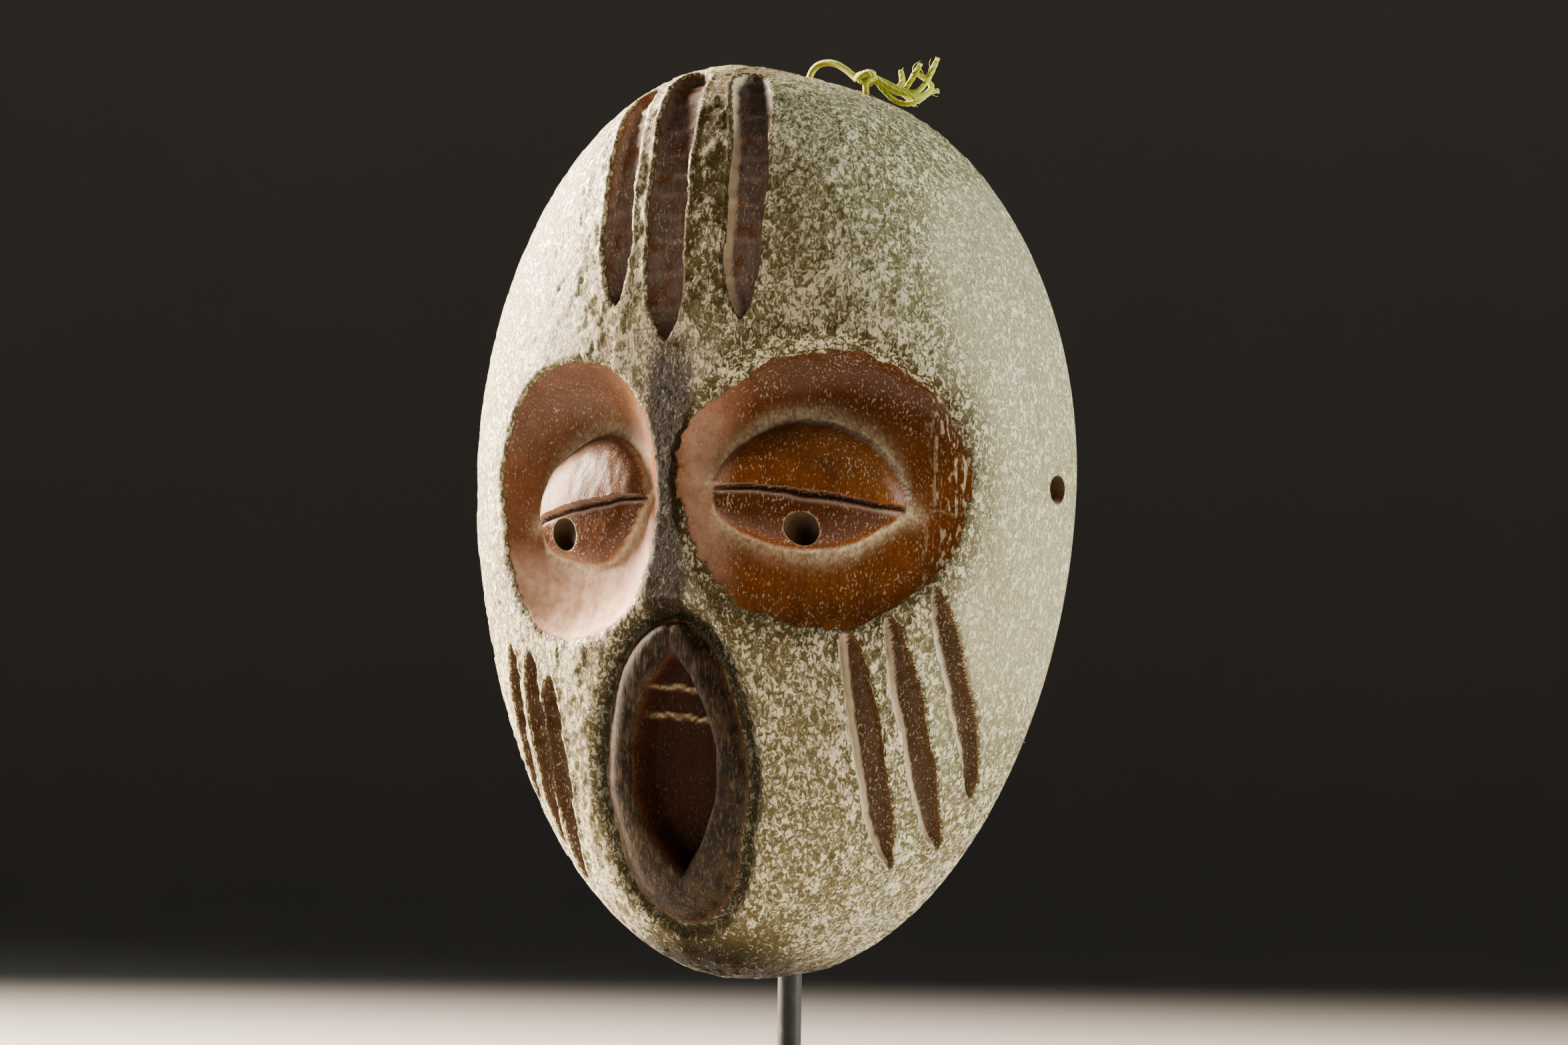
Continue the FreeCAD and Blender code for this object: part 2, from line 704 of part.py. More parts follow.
def build():
    sleeve_middle = size["hanger_half_angle"] - size["sleeve_half_angle"]
    return [
        mask_shell(),
        hanging_twine(),
        twine_knot(),
        twine_tuft(),
        support_rod(),
        hanger_bar(),
        hanger_sleeve("hanger_sleeve_left", 90 + sleeve_middle),
        hanger_sleeve("hanger_sleeve_right", 90 - sleeve_middle),
        chin_sleeve(),
        rod_socket(),
        socket_set_screw(),
        base_screw(),
        stand_base(),
        base_felt(),
    ]


def check(parts):
    """Stops if any object failed, or a sub-part has no valid closed shape."""
    for thing in document.Objects:
        if "Invalid" in thing.State or "Error" in thing.State:
            raise RuntimeError("%s: %s" % (thing.Name, thing.State))
    for part in parts:
        if part.Shape.isNull() or not part.Shape.isValid() or not part.Shape.Solids:
            raise RuntimeError("%s has no valid solid" % part.Label)


parts = build()
document.recompute()
check(parts)
os.makedirs("parts", exist_ok=True)
for part in parts:
    part.Shape.exportStep("parts/%s.step" % part.Label)
    box = part.Shape.BoundBox
    print("%-22s %8.1f cm3  x %.1f..%.1f  y %.1f..%.1f  z %.1f..%.1f" % (
        part.Label, part.Shape.Volume / 1000, box.XMin, box.XMax, box.YMin, box.YMax, box.ZMin, box.ZMax))
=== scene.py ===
"""A carved, whitewashed wooden mask on its display stand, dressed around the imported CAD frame."""
import math
from types import SimpleNamespace

import bpy
import numpy as np
from mathutils import Matrix, Vector


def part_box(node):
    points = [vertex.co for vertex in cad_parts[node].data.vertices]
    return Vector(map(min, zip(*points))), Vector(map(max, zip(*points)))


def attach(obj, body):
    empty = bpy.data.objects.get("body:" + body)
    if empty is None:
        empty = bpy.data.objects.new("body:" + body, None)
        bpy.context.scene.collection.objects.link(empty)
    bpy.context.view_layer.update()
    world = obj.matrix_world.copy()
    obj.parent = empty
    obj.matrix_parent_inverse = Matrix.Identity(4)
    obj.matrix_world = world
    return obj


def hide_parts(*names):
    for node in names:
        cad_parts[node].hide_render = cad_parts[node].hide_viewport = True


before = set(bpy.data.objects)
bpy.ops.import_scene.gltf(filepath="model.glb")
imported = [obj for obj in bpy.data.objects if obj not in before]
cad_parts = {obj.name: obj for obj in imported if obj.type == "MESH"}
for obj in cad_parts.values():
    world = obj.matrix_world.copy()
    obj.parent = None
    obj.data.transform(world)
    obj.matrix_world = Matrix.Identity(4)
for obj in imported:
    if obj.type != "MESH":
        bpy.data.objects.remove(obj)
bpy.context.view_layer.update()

MM = 0.001
SEED = 11
rng = np.random.default_rng(SEED)

# ---------------- the mask's frame

# Everything carved is worked out in millimetres: x across the face, forward from the plane of
# the back rim, and z from the level where the face is widest.

SHELL_LOW, SHELL_HIGH = [np.array(corner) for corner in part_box("mask_shell")]
MASK_HEIGHT = (SHELL_HIGH[2] - SHELL_LOW[2]) / MM
CHIN_SHARE = 166 / 300
CHIN_DROP = MASK_HEIGHT * CHIN_SHARE
CROWN_RISE = MASK_HEIGHT - CHIN_DROP
HALF_WIDTH = (SHELL_HIGH[0] - SHELL_LOW[0]) / 2 / MM
NOSE_CUT = 0.6
DOME_DEPTH = (SHELL_HIGH[1] - SHELL_LOW[1]) / MM + NOSE_CUT
SIDE_WALL = 11.0
FRONT_WALL = 22.0
NOSE_X = 1.0
RIM_Y = SHELL_HIGH[1]
WIDEST_Z = SHELL_LOW[2] + CHIN_DROP * MM

# How square the dome is: round its outline, down its profile and across it
OUTLINE_POWER = {"crown": 1.99, "chin": 1.89}
PROFILE_POWER = {"crown": 5.2, "chin": 4.7}
SLOPE_BACK = {"crown": 0.03, "chin": 0.06}
SECTION_POWER = 2.37


def to_row(points):
    """Turns rows of (x, forward, z) in millimetres into points of the row frame, in metres."""
    points = np.asarray(points, dtype=float)
    row = np.empty_like(points)
    row[..., 0] = points[..., 0] * MM
    row[..., 1] = RIM_Y - points[..., 1] * MM
    row[..., 2] = WIDEST_Z + points[..., 2] * MM
    return row


# ---------------- number tools

def smooth(low, high, value):
    """Rises smoothly from 0 at low to 1 at high."""
    share = np.clip((value - low) / (high - low), 0.0, 1.0)
    return share * share * (3 - 2 * share)


def soft_min(a, b, blend):
    """The smaller of two values, blended where they are nearly equal."""
    share = np.clip(0.5 + 0.5 * (b - a) / blend, 0.0, 1.0)
    return b + (a - b) * share - blend * share * (1 - share)


def bell(distance, width):
    """1 where distance is 0, fading to nothing over about twice the width."""
    return np.exp(-(distance / width) ** 2)


def unit(vectors):
    """Rows of vectors, each made one long."""
    return vectors / np.linalg.norm(vectors, axis=-1, keepdims=True)


def walk(line):
    """How far along a line each of its points is."""
    return np.concatenate([[0.0], np.linalg.norm(np.diff(line, axis=0), axis=1).cumsum()])


def hashed(cells, seed):
    """A repeatable random number from 0 to 1 for each whole-number cell."""
    x, y, z = (cells[..., axis].astype(np.int64) for axis in range(3))
    mixed = (x * 374761393 + y * 668265263 + z * 2147483647 + seed * 974634777) & 0xFFFFFFFF
    mixed = ((mixed ^ (mixed >> 13)) * 1274126177) & 0xFFFFFFFF
    mixed = ((mixed ^ (mixed >> 16)) * 2246822519) & 0xFFFFFFFF
    return ((mixed ^ (mixed >> 15)) & 0xFFFFFF) / float(0xFFFFFF)


def lattice_noise(points, scale, seed):
    """Smooth random values from -1 to 1, with features about scale millimetres across."""
    scaled = points / scale
    low = np.floor(scaled)
    part = scaled - low
    part = part * part * (3 - 2 * part)
    total = np.zeros(len(points))
    for corner in np.ndindex(2, 2, 2):
        weight = np.ones(len(points))
        for axis in range(3):
            weight *= part[:, axis] if corner[axis] else 1 - part[:, axis]
        total += weight * hashed(low + np.array(corner), seed)
    return total * 2 - 1


def layered_noise(points, scale, seed, layers=3):
    """Lattice noise with finer, weaker layers over it."""
    total = np.zeros(len(points))
    weight = 1.0
    for layer in range(layers):
        total += weight * lattice_noise(points + 31.7 * layer, scale / 2 ** layer, seed + layer)
        weight *= 0.5
    return total / (2 - 2 * weight)


# ---------------- the uncarved dome

def dome_height(x, z, side=0.0, front=0.0):
    """How far forward a dome stands, inset from the outer one by side and front."""
    upper = z > 0
    reach = np.where(upper, CROWN_RISE, CHIN_DROP) - side
    outline_power = np.where(upper, OUTLINE_POWER["crown"], OUTLINE_POWER["chin"])
    profile_power = np.where(upper, PROFILE_POWER["crown"], PROFILE_POWER["chin"])
    slope_back = np.where(upper, SLOPE_BACK["crown"], SLOPE_BACK["chin"])
    share = np.minimum(1.0, np.abs(z) / reach)
    half_width = (HALF_WIDTH - side) * (1 - share ** outline_power) ** (1 / outline_power)
    depth = (DOME_DEPTH - front) * (1 - share ** profile_power) ** (1 / profile_power)
    depth = depth * (1 - slope_back * share ** 2)
    across = np.minimum(1.0, np.abs(x) / np.maximum(half_width, 1e-9))
    return depth * (1 - across ** SECTION_POWER) ** (1 / SECTION_POWER)


HALVINGS = 50


def outline_radius(angle, side):
    """Distance from the middle of the face to the rim, in each direction."""
    inside = np.zeros_like(angle)
    outside = np.full_like(angle, 2 * CHIN_DROP)
    for _ in range(HALVINGS):
        middle = (inside + outside) / 2
        x = middle * np.cos(angle)
        z = middle * np.sin(angle)
        upper = z > 0
        reach = np.where(upper, CROWN_RISE, CHIN_DROP) - side
        power = np.where(upper, OUTLINE_POWER["crown"], OUTLINE_POWER["chin"])
        within = (np.abs(x) / (HALF_WIDTH - side)) ** power + (np.abs(z) / reach) ** power < 1
        inside = np.where(within, middle, inside)
        outside = np.where(within, outside, middle)
    return inside


def square_to_disc(count):
    """A square net of count by count points laid over a disc: direction and distance of each."""
    line = np.linspace(-1, 1, count)
    a, b = np.meshgrid(line, line, indexing="ij")
    distance = np.maximum(np.abs(a), np.abs(b))
    safe_a = np.where(np.abs(a) < 1e-12, 1e-12, a)
    safe_b = np.where(np.abs(b) < 1e-12, 1e-12, b)
    side_angle = math.pi / 4 * b / safe_a + np.where(a < 0, math.pi, 0.0)
    end_angle = math.pi / 2 - math.pi / 4 * a / safe_b + np.where(b < 0, math.pi, 0.0)
    angle = np.where(np.abs(a) >= np.abs(b), side_angle, end_angle)
    return np.mod(angle, 2 * math.pi), distance


def dome_net(count, side, front):
    """Points evenly spread over a dome, from the middle of the face out to the rim plane."""
    directions = 720
    steps = 500
    crowding = 0.9
    angle = np.linspace(0, 2 * math.pi, directions + 1)
    reach = outline_radius(angle, side)
    share = np.sin(np.linspace(0, math.pi / 2, steps)) ** crowding
    away = reach[:, None] * share[None, :]
    x = away * np.cos(angle)[:, None]
    z = away * np.sin(angle)[:, None]
    forward = dome_height(x, z, side, front)
    forward[:, -1] = 0.0
    walked = np.hypot(np.diff(away, axis=1), np.diff(forward, axis=1)).cumsum(axis=1)
    walked = np.hstack([np.zeros((directions + 1, 1)), walked])
    walked /= walked[:, -1:]
    net_angle, net_distance = square_to_disc(count)
    even = np.linspace(0, 1, steps)
    table = np.empty((directions + 1, steps, 2))
    for row in range(directions + 1):
        table[row, :, 0] = np.interp(even, walked[row], away[row])
        table[row, :, 1] = np.interp(even, walked[row], forward[row])
    row = net_angle / (2 * math.pi) * directions
    column = net_distance * (steps - 1)
    low_row = np.clip(np.floor(row).astype(int), 0, directions - 1)
    low_column = np.clip(np.floor(column).astype(int), 0, steps - 2)
    row_part = (row - low_row)[..., None]
    column_part = (column - low_column)[..., None]

    def read(ray):
        return table[ray, low_column] * (1 - column_part) + table[ray, low_column + 1] * column_part

    placed = read(low_row) * (1 - row_part) + read(low_row + 1) * row_part
    net = np.empty((count, count, 3))
    net[..., 0] = placed[..., 0] * np.cos(net_angle)
    net[..., 1] = placed[..., 1]
    net[..., 2] = placed[..., 0] * np.sin(net_angle)
    return net


def net_normals(net):
    """Unit normals of a net, pointing out of the dome."""
    along = np.gradient(net, axis=0)
    across = np.gradient(net, axis=1)
    normal = np.cross(along, across)
    normal /= np.maximum(np.linalg.norm(normal, axis=-1, keepdims=True), 1e-12)
    outward = np.where(normal[..., 1:2].sum() < 0, -1.0, 1.0)
    return normal * outward


# ---------------- sockets and eyes

# The two sides differ, as carving by hand leaves them: middle, half width and half height
RIGHT_SOCKET = (46.2, -12.4, 56.4, 51.2)
LEFT_SOCKET = (-38.4, -15.4, 44.6, 45.6)
SOCKET_POWER = 2.1
# Each socket's floor away from the nose: its height, slope, curve, and where the curve starts
RIGHT_FLOOR = (67.2, -0.395, -0.0012, 0.0)
LEFT_FLOOR = (64.6, 0.0, 0.0080, 11.0)
FLOOR_TILT = 0.11
FLOOR_DISH = 0.0009
LEFT_NARROWER = 1.25
LEFT_LOWER = 2.5
EYE_X = 43.0
EYE_Z = -10.5
EYE_HALF_WIDTH = 29.0
EYE_BULGE = 10.5
LID_HEIGHT = 22.0
LOWER_EYE_HEIGHT = 20.0
EYE_SLANT = math.radians(7.3)
LID_LINE_BOW = 0.0022
LID_STEP_UP = 2.1
LID_STEP_DOWN = 1.1
SLIT_DEPTH = 2.2
SLIT_HALF_WIDTH = 0.60
EYE_HOLE = (44.0, -22.0)
EYE_HOLE_RADIUS = 5.25


def socket_surface(x, z):
    """The scooped floor of the sockets, and how far out of its own one a place is (1 at its edge)."""
    right = x > NOSE_X
    middle_x, middle_z, half_width, half_height = (
        np.where(right, *pair) for pair in zip(RIGHT_SOCKET, LEFT_SOCKET)
    )
    height, slope, curve, start = (np.where(right, *pair) for pair in zip(RIGHT_FLOOR, LEFT_FLOOR))
    a = np.where(right, x - middle_x, middle_x - x)
    b = z - middle_z
    floor = height + slope * a + curve * (a - start) ** 2 - FLOOR_TILT * b + FLOOR_DISH * b ** 2
    reach = (np.abs(a) / half_width) ** SOCKET_POWER + (np.abs(b) / half_height) ** SOCKET_POWER
    return floor, reach ** (1 / SOCKET_POWER), half_width


def as_right_eye(x, z):
    """Carries a place on the left of the face to the matching one on the right, with its side."""
    right = x > NOSE_X
    across = np.where(right, x, NOSE_X / 2 - LEFT_NARROWER * x)
    return across, np.where(right, z, z + LEFT_LOWER), np.where(right, 1.0, -1.0)


def eye_frame(x, z):
    """Places along and square to the closed line between the lids."""
    a = x - EYE_X
    b = z - EYE_Z
    along = a * math.cos(EYE_SLANT) - b * math.sin(EYE_SLANT)
    above = a * math.sin(EYE_SLANT) + b * math.cos(EYE_SLANT)
    above = above - LID_LINE_BOW * (EYE_HALF_WIDTH ** 2 - along ** 2) + 1.0
    return along, above


def eye_bulge(x, z, side):
    """Height of the almond over the socket's floor, with the measures that its paint needs.

    The measures are: how far out of the almond a place is (1 at its edge), the gap to it, the
    places along and above the lid line, and how deep in the slit it is.
    """
    along, above = eye_frame(x, z)
    taper = np.clip(1 - (along / EYE_HALF_WIDTH) ** 2, 0.0, 1.0)
    upper_reach = LID_HEIGHT * taper ** 0.54
    lean = side * np.clip(along / EYE_HALF_WIDTH, -1.0, 1.0)
    lower_reach = LOWER_EYE_HEIGHT * taper ** (0.70 + 0.34 * lean)
    reach = np.where(above > 0, upper_reach, lower_reach) + 1e-6
    edge = np.where(taper > 0, np.abs(above) / reach, 9.0)
    inside = np.clip(1 - edge ** 2, 0.0, 1.0)
    height = EYE_BULGE * taper ** 0.5 * inside ** 0.55
    lid = smooth(-0.45, 0.25, above)
    height = height + inside ** 0.3 * taper ** 0.3 * (LID_STEP_UP * lid - LID_STEP_DOWN * (1 - lid))
    slit = bell(above + 0.55, SLIT_HALF_WIDTH) * smooth(0.0, 0.10, taper)
    past_lid = np.maximum(np.abs(above) - reach, 0.0)
    past_corner = np.maximum(np.abs(along) - EYE_HALF_WIDTH, 0.0)
    return height - SLIT_DEPTH * slit, edge, np.hypot(past_lid, past_corner), along, above, slit


# ---------------- the mouth

MOUTH_X = 1.5
MOUTH_Z = -98.0
LIPS = (25.0, 48.0)
OPENING = (15.5, 35.0)
OPENING_Z = -95.5
MOUTH_DEEP = 12.0
TRENCH_DEEP = 3.4
LIP_RISE = 2.3
LIP_SUNK = 1.5
LIP_STROKES = 9.0
# The two pale ridges left on the palate: their level and half length
PALATE_RIDGES = ((-72.2, 8.0), (-81.3, 10.5))


def lens_distance(x, z, half_width, half_height):
    """Signed distance in millimetres to a pointed oval made of two arcs."""
    arc = (half_width ** 2 + half_height ** 2) / (2 * half_width)
    offset = arc - half_width
    to_arc = np.hypot(np.abs(x) + offset, z) - arc
    to_tip = np.hypot(x, np.abs(z) - half_height)
    beyond = (np.abs(z) - half_height) * offset > np.abs(x) * half_height
    return np.where(beyond, to_tip, to_arc)


def oval_distance(x, z, half_width, half_height):
    """Signed distance in millimetres to an oval, exact enough near its edge."""
    reach = np.hypot(x / half_width, z / half_height)
    slope = np.maximum(np.hypot(x / half_width ** 2, z / half_height ** 2), 1e-6)
    return reach * (reach - 1) / slope


def mouth_carving(x, z):
    """Depth change round the mouth, the distances to its two outlines, and its ridges."""
    outer = oval_distance(x - MOUTH_X, z - MOUTH_Z, *LIPS)
    inner = lens_distance(x - MOUTH_X, z - OPENING_Z, *OPENING)
    trench = bell(outer - 1.9, 2.6)
    width = np.maximum(inner - outer, 1e-6)
    across = np.clip(inner / width, 0.0, 1.0)
    on_lips = smooth(0.8, -0.8, outer) * smooth(-0.6, 0.6, inner)
    ring = on_lips * (LIP_RISE * np.clip(1 - (2 * across - 0.8) ** 2, 0.0, 1.0) ** 0.6 - LIP_SUNK)
    opening = smooth(0.8, -4.0, inner)
    around = np.arctan2(z - MOUTH_Z, x - MOUTH_X) * LIP_STROKES
    stroke = around - np.floor(around)
    ring = ring - on_lips * 0.28 * np.abs(stroke - 0.5)
    notch = bell(x - MOUTH_X, 0.8) * smooth(-64.0, -61.0, z) * on_lips
    depth = -TRENCH_DEEP * trench * (1 - on_lips) + ring - MOUTH_DEEP * opening - 0.5 * notch
    bowl = np.clip(-inner / OPENING[0], 0.0, 1.0)
    depth = depth - 1.5 * opening * bowl
    ridges = np.zeros_like(x)
    for level, half_length in PALATE_RIDGES:
        bow = level - 0.10 * (x - MOUTH_X) + 0.35 * np.sin(x * 0.9 + level)
        reach = smooth(half_length + 1.5, half_length, np.abs(x - MOUTH_X))
        ridges = np.maximum(ridges, bell(z - bow, 0.55) * reach * opening)
    return depth + 0.55 * ridges, outer, inner, ridges


# ---------------- the gouged marks

# Each mark: four places down its middle in the front view, half width, depth, how long its
# rounded top is as a share of its length, and the side whose wall is pale (1 right, -1 left)
FOREHEAD_MARKS = [
    (((-20.8, 125.5), (-20.2, 108.0), (-20.3, 80.0), (-20.0, 50.0)), 5.6, 3.6, 0.12, 1),
    (((-4.0, 128.6), (-2.0, 108.0), (-2.0, 75.0), (-0.6, 38.0)), 6.8, 3.8, 0.08, 0),
    (((15.5, 127.2), (22.8, 110.0), (25.3, 80.0), (25.2, 44.0)), 6.2, 3.8, 0.08, -1),
]
CHEEK_MARKS = [
    (((58.0, -53.5), (61.2, -76.0), (62.0, -100.0), (58.2, -128.5)), 5.2, 3.6, 0.35, -1),
    (((69.8, -48.5), (72.8, -71.0), (73.2, -93.0), (67.0, -122.5)), 5.0, 3.6, 0.35, -1),
    (((82.0, -39.5), (84.0, -63.0), (83.6, -83.0), (77.0, -107.0)), 4.5, 3.2, 0.35, -1),
    (((-47.2, -68.0), (-45.8, -86.0), (-43.6, -106.0), (-41.5, -134.0)), 4.8, 3.4, 0.35, 0),
    (((-57.0, -60.0), (-54.8, -78.0), (-52.5, -98.0), (-50.0, -122.5)), 4.8, 3.4, 0.35, 0),
    (((-67.0, -57.0), (-65.3, -73.0), (-64.0, -90.0), (-62.0, -113.0)), 4.2, 3.0, 0.35, 0),
]


LONG_TOP = 0.2
BURR = 0.35
FACET = 0.60


def mark_line(places, count=90):
    """Points of a mark's centre line, laid on the uncarved dome."""
    places = np.array(places)
    walked = walk(places)
    share = np.linspace(0, 1, count)
    x, z = (np.polyval(np.polyfit(walked / walked[-1], places[:, axis], 3), share) for axis in (0, 1))
    return np.column_stack([x, dome_height(x, z), z])


def mark_carving(points, normals, mark, number):
    """Depth, floor, edge and pale wall of one gouged mark, measured over the dome's surface."""
    places, half_width, deep, blunt, pale_side = mark
    line = mark_line(places)
    low = line.min(axis=0) - 12
    high = line.max(axis=0) + 12
    near = np.flatnonzero(np.all((points > low) & (points < high), axis=1))
    picked = points[near]
    walked = walk(line)
    gap = np.linalg.norm(picked[:, None, :] - line[None, :, :], axis=2)
    nearest = gap.argmin(axis=1)
    tangent = unit(np.gradient(line, axis=0))
    offset = picked - line[nearest]
    side = unit(np.cross(normals[near], tangent[nearest]))
    across = np.einsum("ij,ij->i", offset, side)
    along = walked[nearest] + np.einsum("ij,ij->i", offset, tangent[nearest])
    share = np.clip(along / walked[-1], 0.0, 1.0)
    head = np.clip(share / blunt, 0.0, 1.0)
    tail = np.clip((1 - share) / (0.42 if blunt > LONG_TOP else 0.26), 0.0, 1.0)
    width = half_width * (1 - (1 - head) ** 2) ** 0.5 * (1 - (1 - tail) ** 2) ** 0.56
    width = width + 0.25 * np.sin(along * 0.22 + number * 2.1) * (width > 1.0)
    beyond = (along < 0) | (along > walked[-1])
    width = width + 0.6 * layered_noise(picked, 2.6, 111 + number, 2) * (width > 1.2)
    width = np.where(beyond, 0.0, np.maximum(width, 0.0))
    inward = width - np.abs(across)
    wall = smooth(-0.25, 2.0, inward)
    rounded = 1 - 0.22 * (across / np.maximum(width, 0.5)) ** 2
    stroke = along / (7.5 + number % 3) + 0.3 * np.sin(number + along * 0.11)
    facet = stroke - np.floor(stroke)
    depth = deep * wall * np.clip(rounded, 0.0, 1.0) * np.minimum(1.0, width / (0.55 * half_width))
    depth = depth - FACET * wall * (facet - 0.5) * (inward > 0)
    burr = BURR * bell(inward + 0.9, 0.8) * (width > 0.8)
    carved, floor, edge, pale = np.zeros((4, len(points)))
    carved[near] = burr - depth
    floor[near] = smooth(0.0, 0.7, inward)
    edge[near] = bell(np.maximum(0, -inward), 1.5) * (width > 0.5) * (inward < 0.4)
    pale_width = 3.2 if blunt > LONG_TOP else 2.0
    on_wall = smooth(-0.5, 0.1, inward) * smooth(pale_width + 0.4, pale_width - 0.4, inward)
    pale[near] = on_wall * (width > 1.5) * (across * pale_side < 0)
    return carved, floor, edge, pale


# ---------------- carving the whole face

FACE_STARTS = 12.0


def wander(x, z):
    """Warps a place a little, so that no carved edge runs as a perfect curve."""
    points = np.column_stack([x, np.zeros_like(x), z])
    shift_x = 0.9 * lattice_noise(points, 17.0, 3) + 0.35 * lattice_noise(points, 6.0, 4)
    shift_z = 0.9 * lattice_noise(points, 15.0, 5) + 0.35 * lattice_noise(points, 5.0, 6)
    return x + shift_x, z + shift_z


def carve_sockets(points, masks):
    """Scoops out the sockets, leaving the eyes standing. Returns how far forward the face is."""
    x, forward, z = points.T
    warp_x, warp_z = wander(x, z)
    floor, edge, socket_width = socket_surface(warp_x, warp_z)
    grain = 0.25 * layered_noise(np.column_stack([x, z * 0.35, z * 0.35]), 5.0, 21)
    wall = 1.95 * socket_width * np.maximum(edge - 0.62, 0.0) ** 2
    bowl = floor + grain + wall
    eye, eye_edge, eye_gap, along, above, slit = eye_bulge(*as_right_eye(warp_x, warp_z))
    on_eye = smooth(1.02, 0.95, eye_edge)
    strong = 0.55 + 0.45 * smooth(12.0, -14.0, along * np.sign(above + 0.01))
    ring = 0.85 * strong * bell(eye_gap, 4.2) * (1 - smooth(0.99, 0.93, eye_edge))
    crisp = bell(eye_gap - 0.7, 0.9) * (eye_edge > 0.95) * smooth(-6.0, 4.0, above)
    under_lid = 0.5 * smooth(0.76, 0.98, eye_edge) * smooth(-4.0, -9.0, above) * on_eye
    ring = np.maximum.reduce([ring, crisp, under_lid])
    room = np.maximum(forward - bowl - 0.8, 0.0)
    eye = np.where(eye_edge < 1, soft_min(eye, room, 1.5), 0.0)
    carved = soft_min(forward, bowl + eye, 3.0)

    ragged = 1.5 * layered_noise(points, 2.6, 25, 2) + 0.5 * lattice_noise(points, 11.0, 27)
    over_middle = warp_z - RIGHT_SOCKET[1] + 0.2 * (warp_x - RIGHT_SOCKET[0])
    crusted_top = 4.5 * smooth(14.0, 36.0, over_middle) * (x > NOSE_X)
    cut_in = forward - bowl + ragged - 0.6 - crusted_top
    in_socket = np.maximum(smooth(0.0, 1.6, cut_in) * (edge < 1.15), on_eye)
    masks.socket = in_socket * (forward > FACE_STARTS)
    masks.eye = on_eye * masks.socket
    # The slit and the lower lids take painted shade; the band along each lower lid's top takes a
    # painted highlight
    masks.slit = slit * masks.eye
    masks.lower_lid = masks.eye * smooth(-1.0, -3.0, above) * smooth(1.0, 0.72, eye_edge)
    masks.lid = bell(above + 2.1, 0.75) * masks.eye
    masks.socket_edge = bell(np.maximum(bowl - forward, 0.0), 11.0) * smooth(1.3, 1.15, edge)
    masks.eye_ring = ring * masks.socket * (1 - masks.eye)
    crack_line = -15.2 - 0.10 * (x - 72.0) + 0.3 * np.sin(x * 0.8)
    crack_reach = smooth(71.5, 74.0, x) * smooth(92.0, 88.0, x)
    masks.crack = 0.8 * bell(z - crack_line, 0.4) * crack_reach
    return np.where(forward < FACE_STARTS, forward, carved)


def carve_mouth(points, masks):
    """How far the mouth raises or lowers the face at each point."""
    x, forward, z = points.T
    cut, outer, inner, ridges = mouth_carving(*wander(x, z))
    masks.mouth = smooth(0.2, -0.9, inner)
    masks.lips = smooth(0.8, -0.8, outer) * (1 - masks.mouth)
    masks.ridges = ridges
    masks.trench = bell(outer - 1.8, 3.2) * (outer > -1.0)
    return np.where((outer < 9.0) & (forward > 20.0), cut, 0.0)


def carve_marks(points, normals, masks):
    """How far the gouged marks raise or lower the face, square to it, at each point."""
    depth, floors, beside_marks, walls, frosted = np.zeros((5, len(points)))
    for number, mark in enumerate(FOREHEAD_MARKS + CHEEK_MARKS):
        change, in_floor, beside, pale = mark_carving(points, normals, mark, number)
        depth = np.where(np.abs(change) > np.abs(depth), change, depth)
        floors = np.maximum(floors, in_floor)
        beside_marks = np.maximum(beside_marks, beside)
        walls = np.maximum(walls, pale)
        if number < len(FOREHEAD_MARKS):
            frosted = np.maximum(frosted, in_floor)
    masks.gouge = floors
    masks.gouge_edge = beside_marks * (1 - floors)
    masks.wall = walls
    masks.frosted = frosted
    return depth


def carve(points, normals):
    """Cuts the face into the dome. Returns the new points and a mask for each kind of paint."""
    masks = SimpleNamespace()
    moved = points.copy()
    moved[:, 1] = carve_sockets(points, masks) + carve_mouth(points, masks)
    moved = moved + normals * carve_marks(points, normals, masks)[:, None]
    bare = np.maximum.reduce([masks.socket, masks.gouge, masks.lips, masks.mouth])
    masks.bare = np.clip(bare, 0.0, 1.0)
    return moved, masks


def flakes(points, bare):
    """How thick the whitewash is, 0 where it has worn off, and where it is rubbed smooth."""
    drift = 1.6 * np.column_stack([lattice_noise(points, 5.0, 31 + axis) for axis in range(3)])
    plates = layered_noise(points + drift, 4.6, 41, 3)
    cover = layered_noise(points, 38.0, 51, 2)
    x, forward, z = points.T
    right_side = smooth(60.0, 45.0, forward - 6.0 * cover) * smooth(66.0, 80.0, x)
    right_side = right_side * smooth(-110.0, -55.0, z)
    left_side = smooth(-24.0, -42.0, x + 6 * cover) * smooth(-40.0, 60.0, z - 0.4 * x)
    smooth_side = np.maximum(right_side, 0.6 * left_side)
    lift = smooth(-0.08, 0.22, plates + 0.30 * cover)
    return lift * (1 - bare) * (1 - 0.75 * smooth_side), smooth_side


def weather(points, normals, masks):
    """Adds the whitewash's thickness, knife facets and dents over the carved shape."""
    plates, smooth_side = flakes(points, masks.bare)
    masks.plates = plates
    masks.smooth_side = smooth_side
    swell = 0.45 * layered_noise(points, 26.0, 61, 2) * (1 - masks.bare)
    pits = -0.35 * smooth(0.45, 0.8, lattice_noise(points, 2.6, 71)) * (1 - masks.bare)
    tool = 0.22 * layered_noise(points * np.array([1.0, 1.0, 0.3]), 3.2, 81, 2) * masks.bare
    height = 0.42 * plates + swell + pits + tool - 0.25
    off_rim = smooth(0.4, 5.0, points[:, 1])
    return points + normals * (height * off_rim)[:, None]


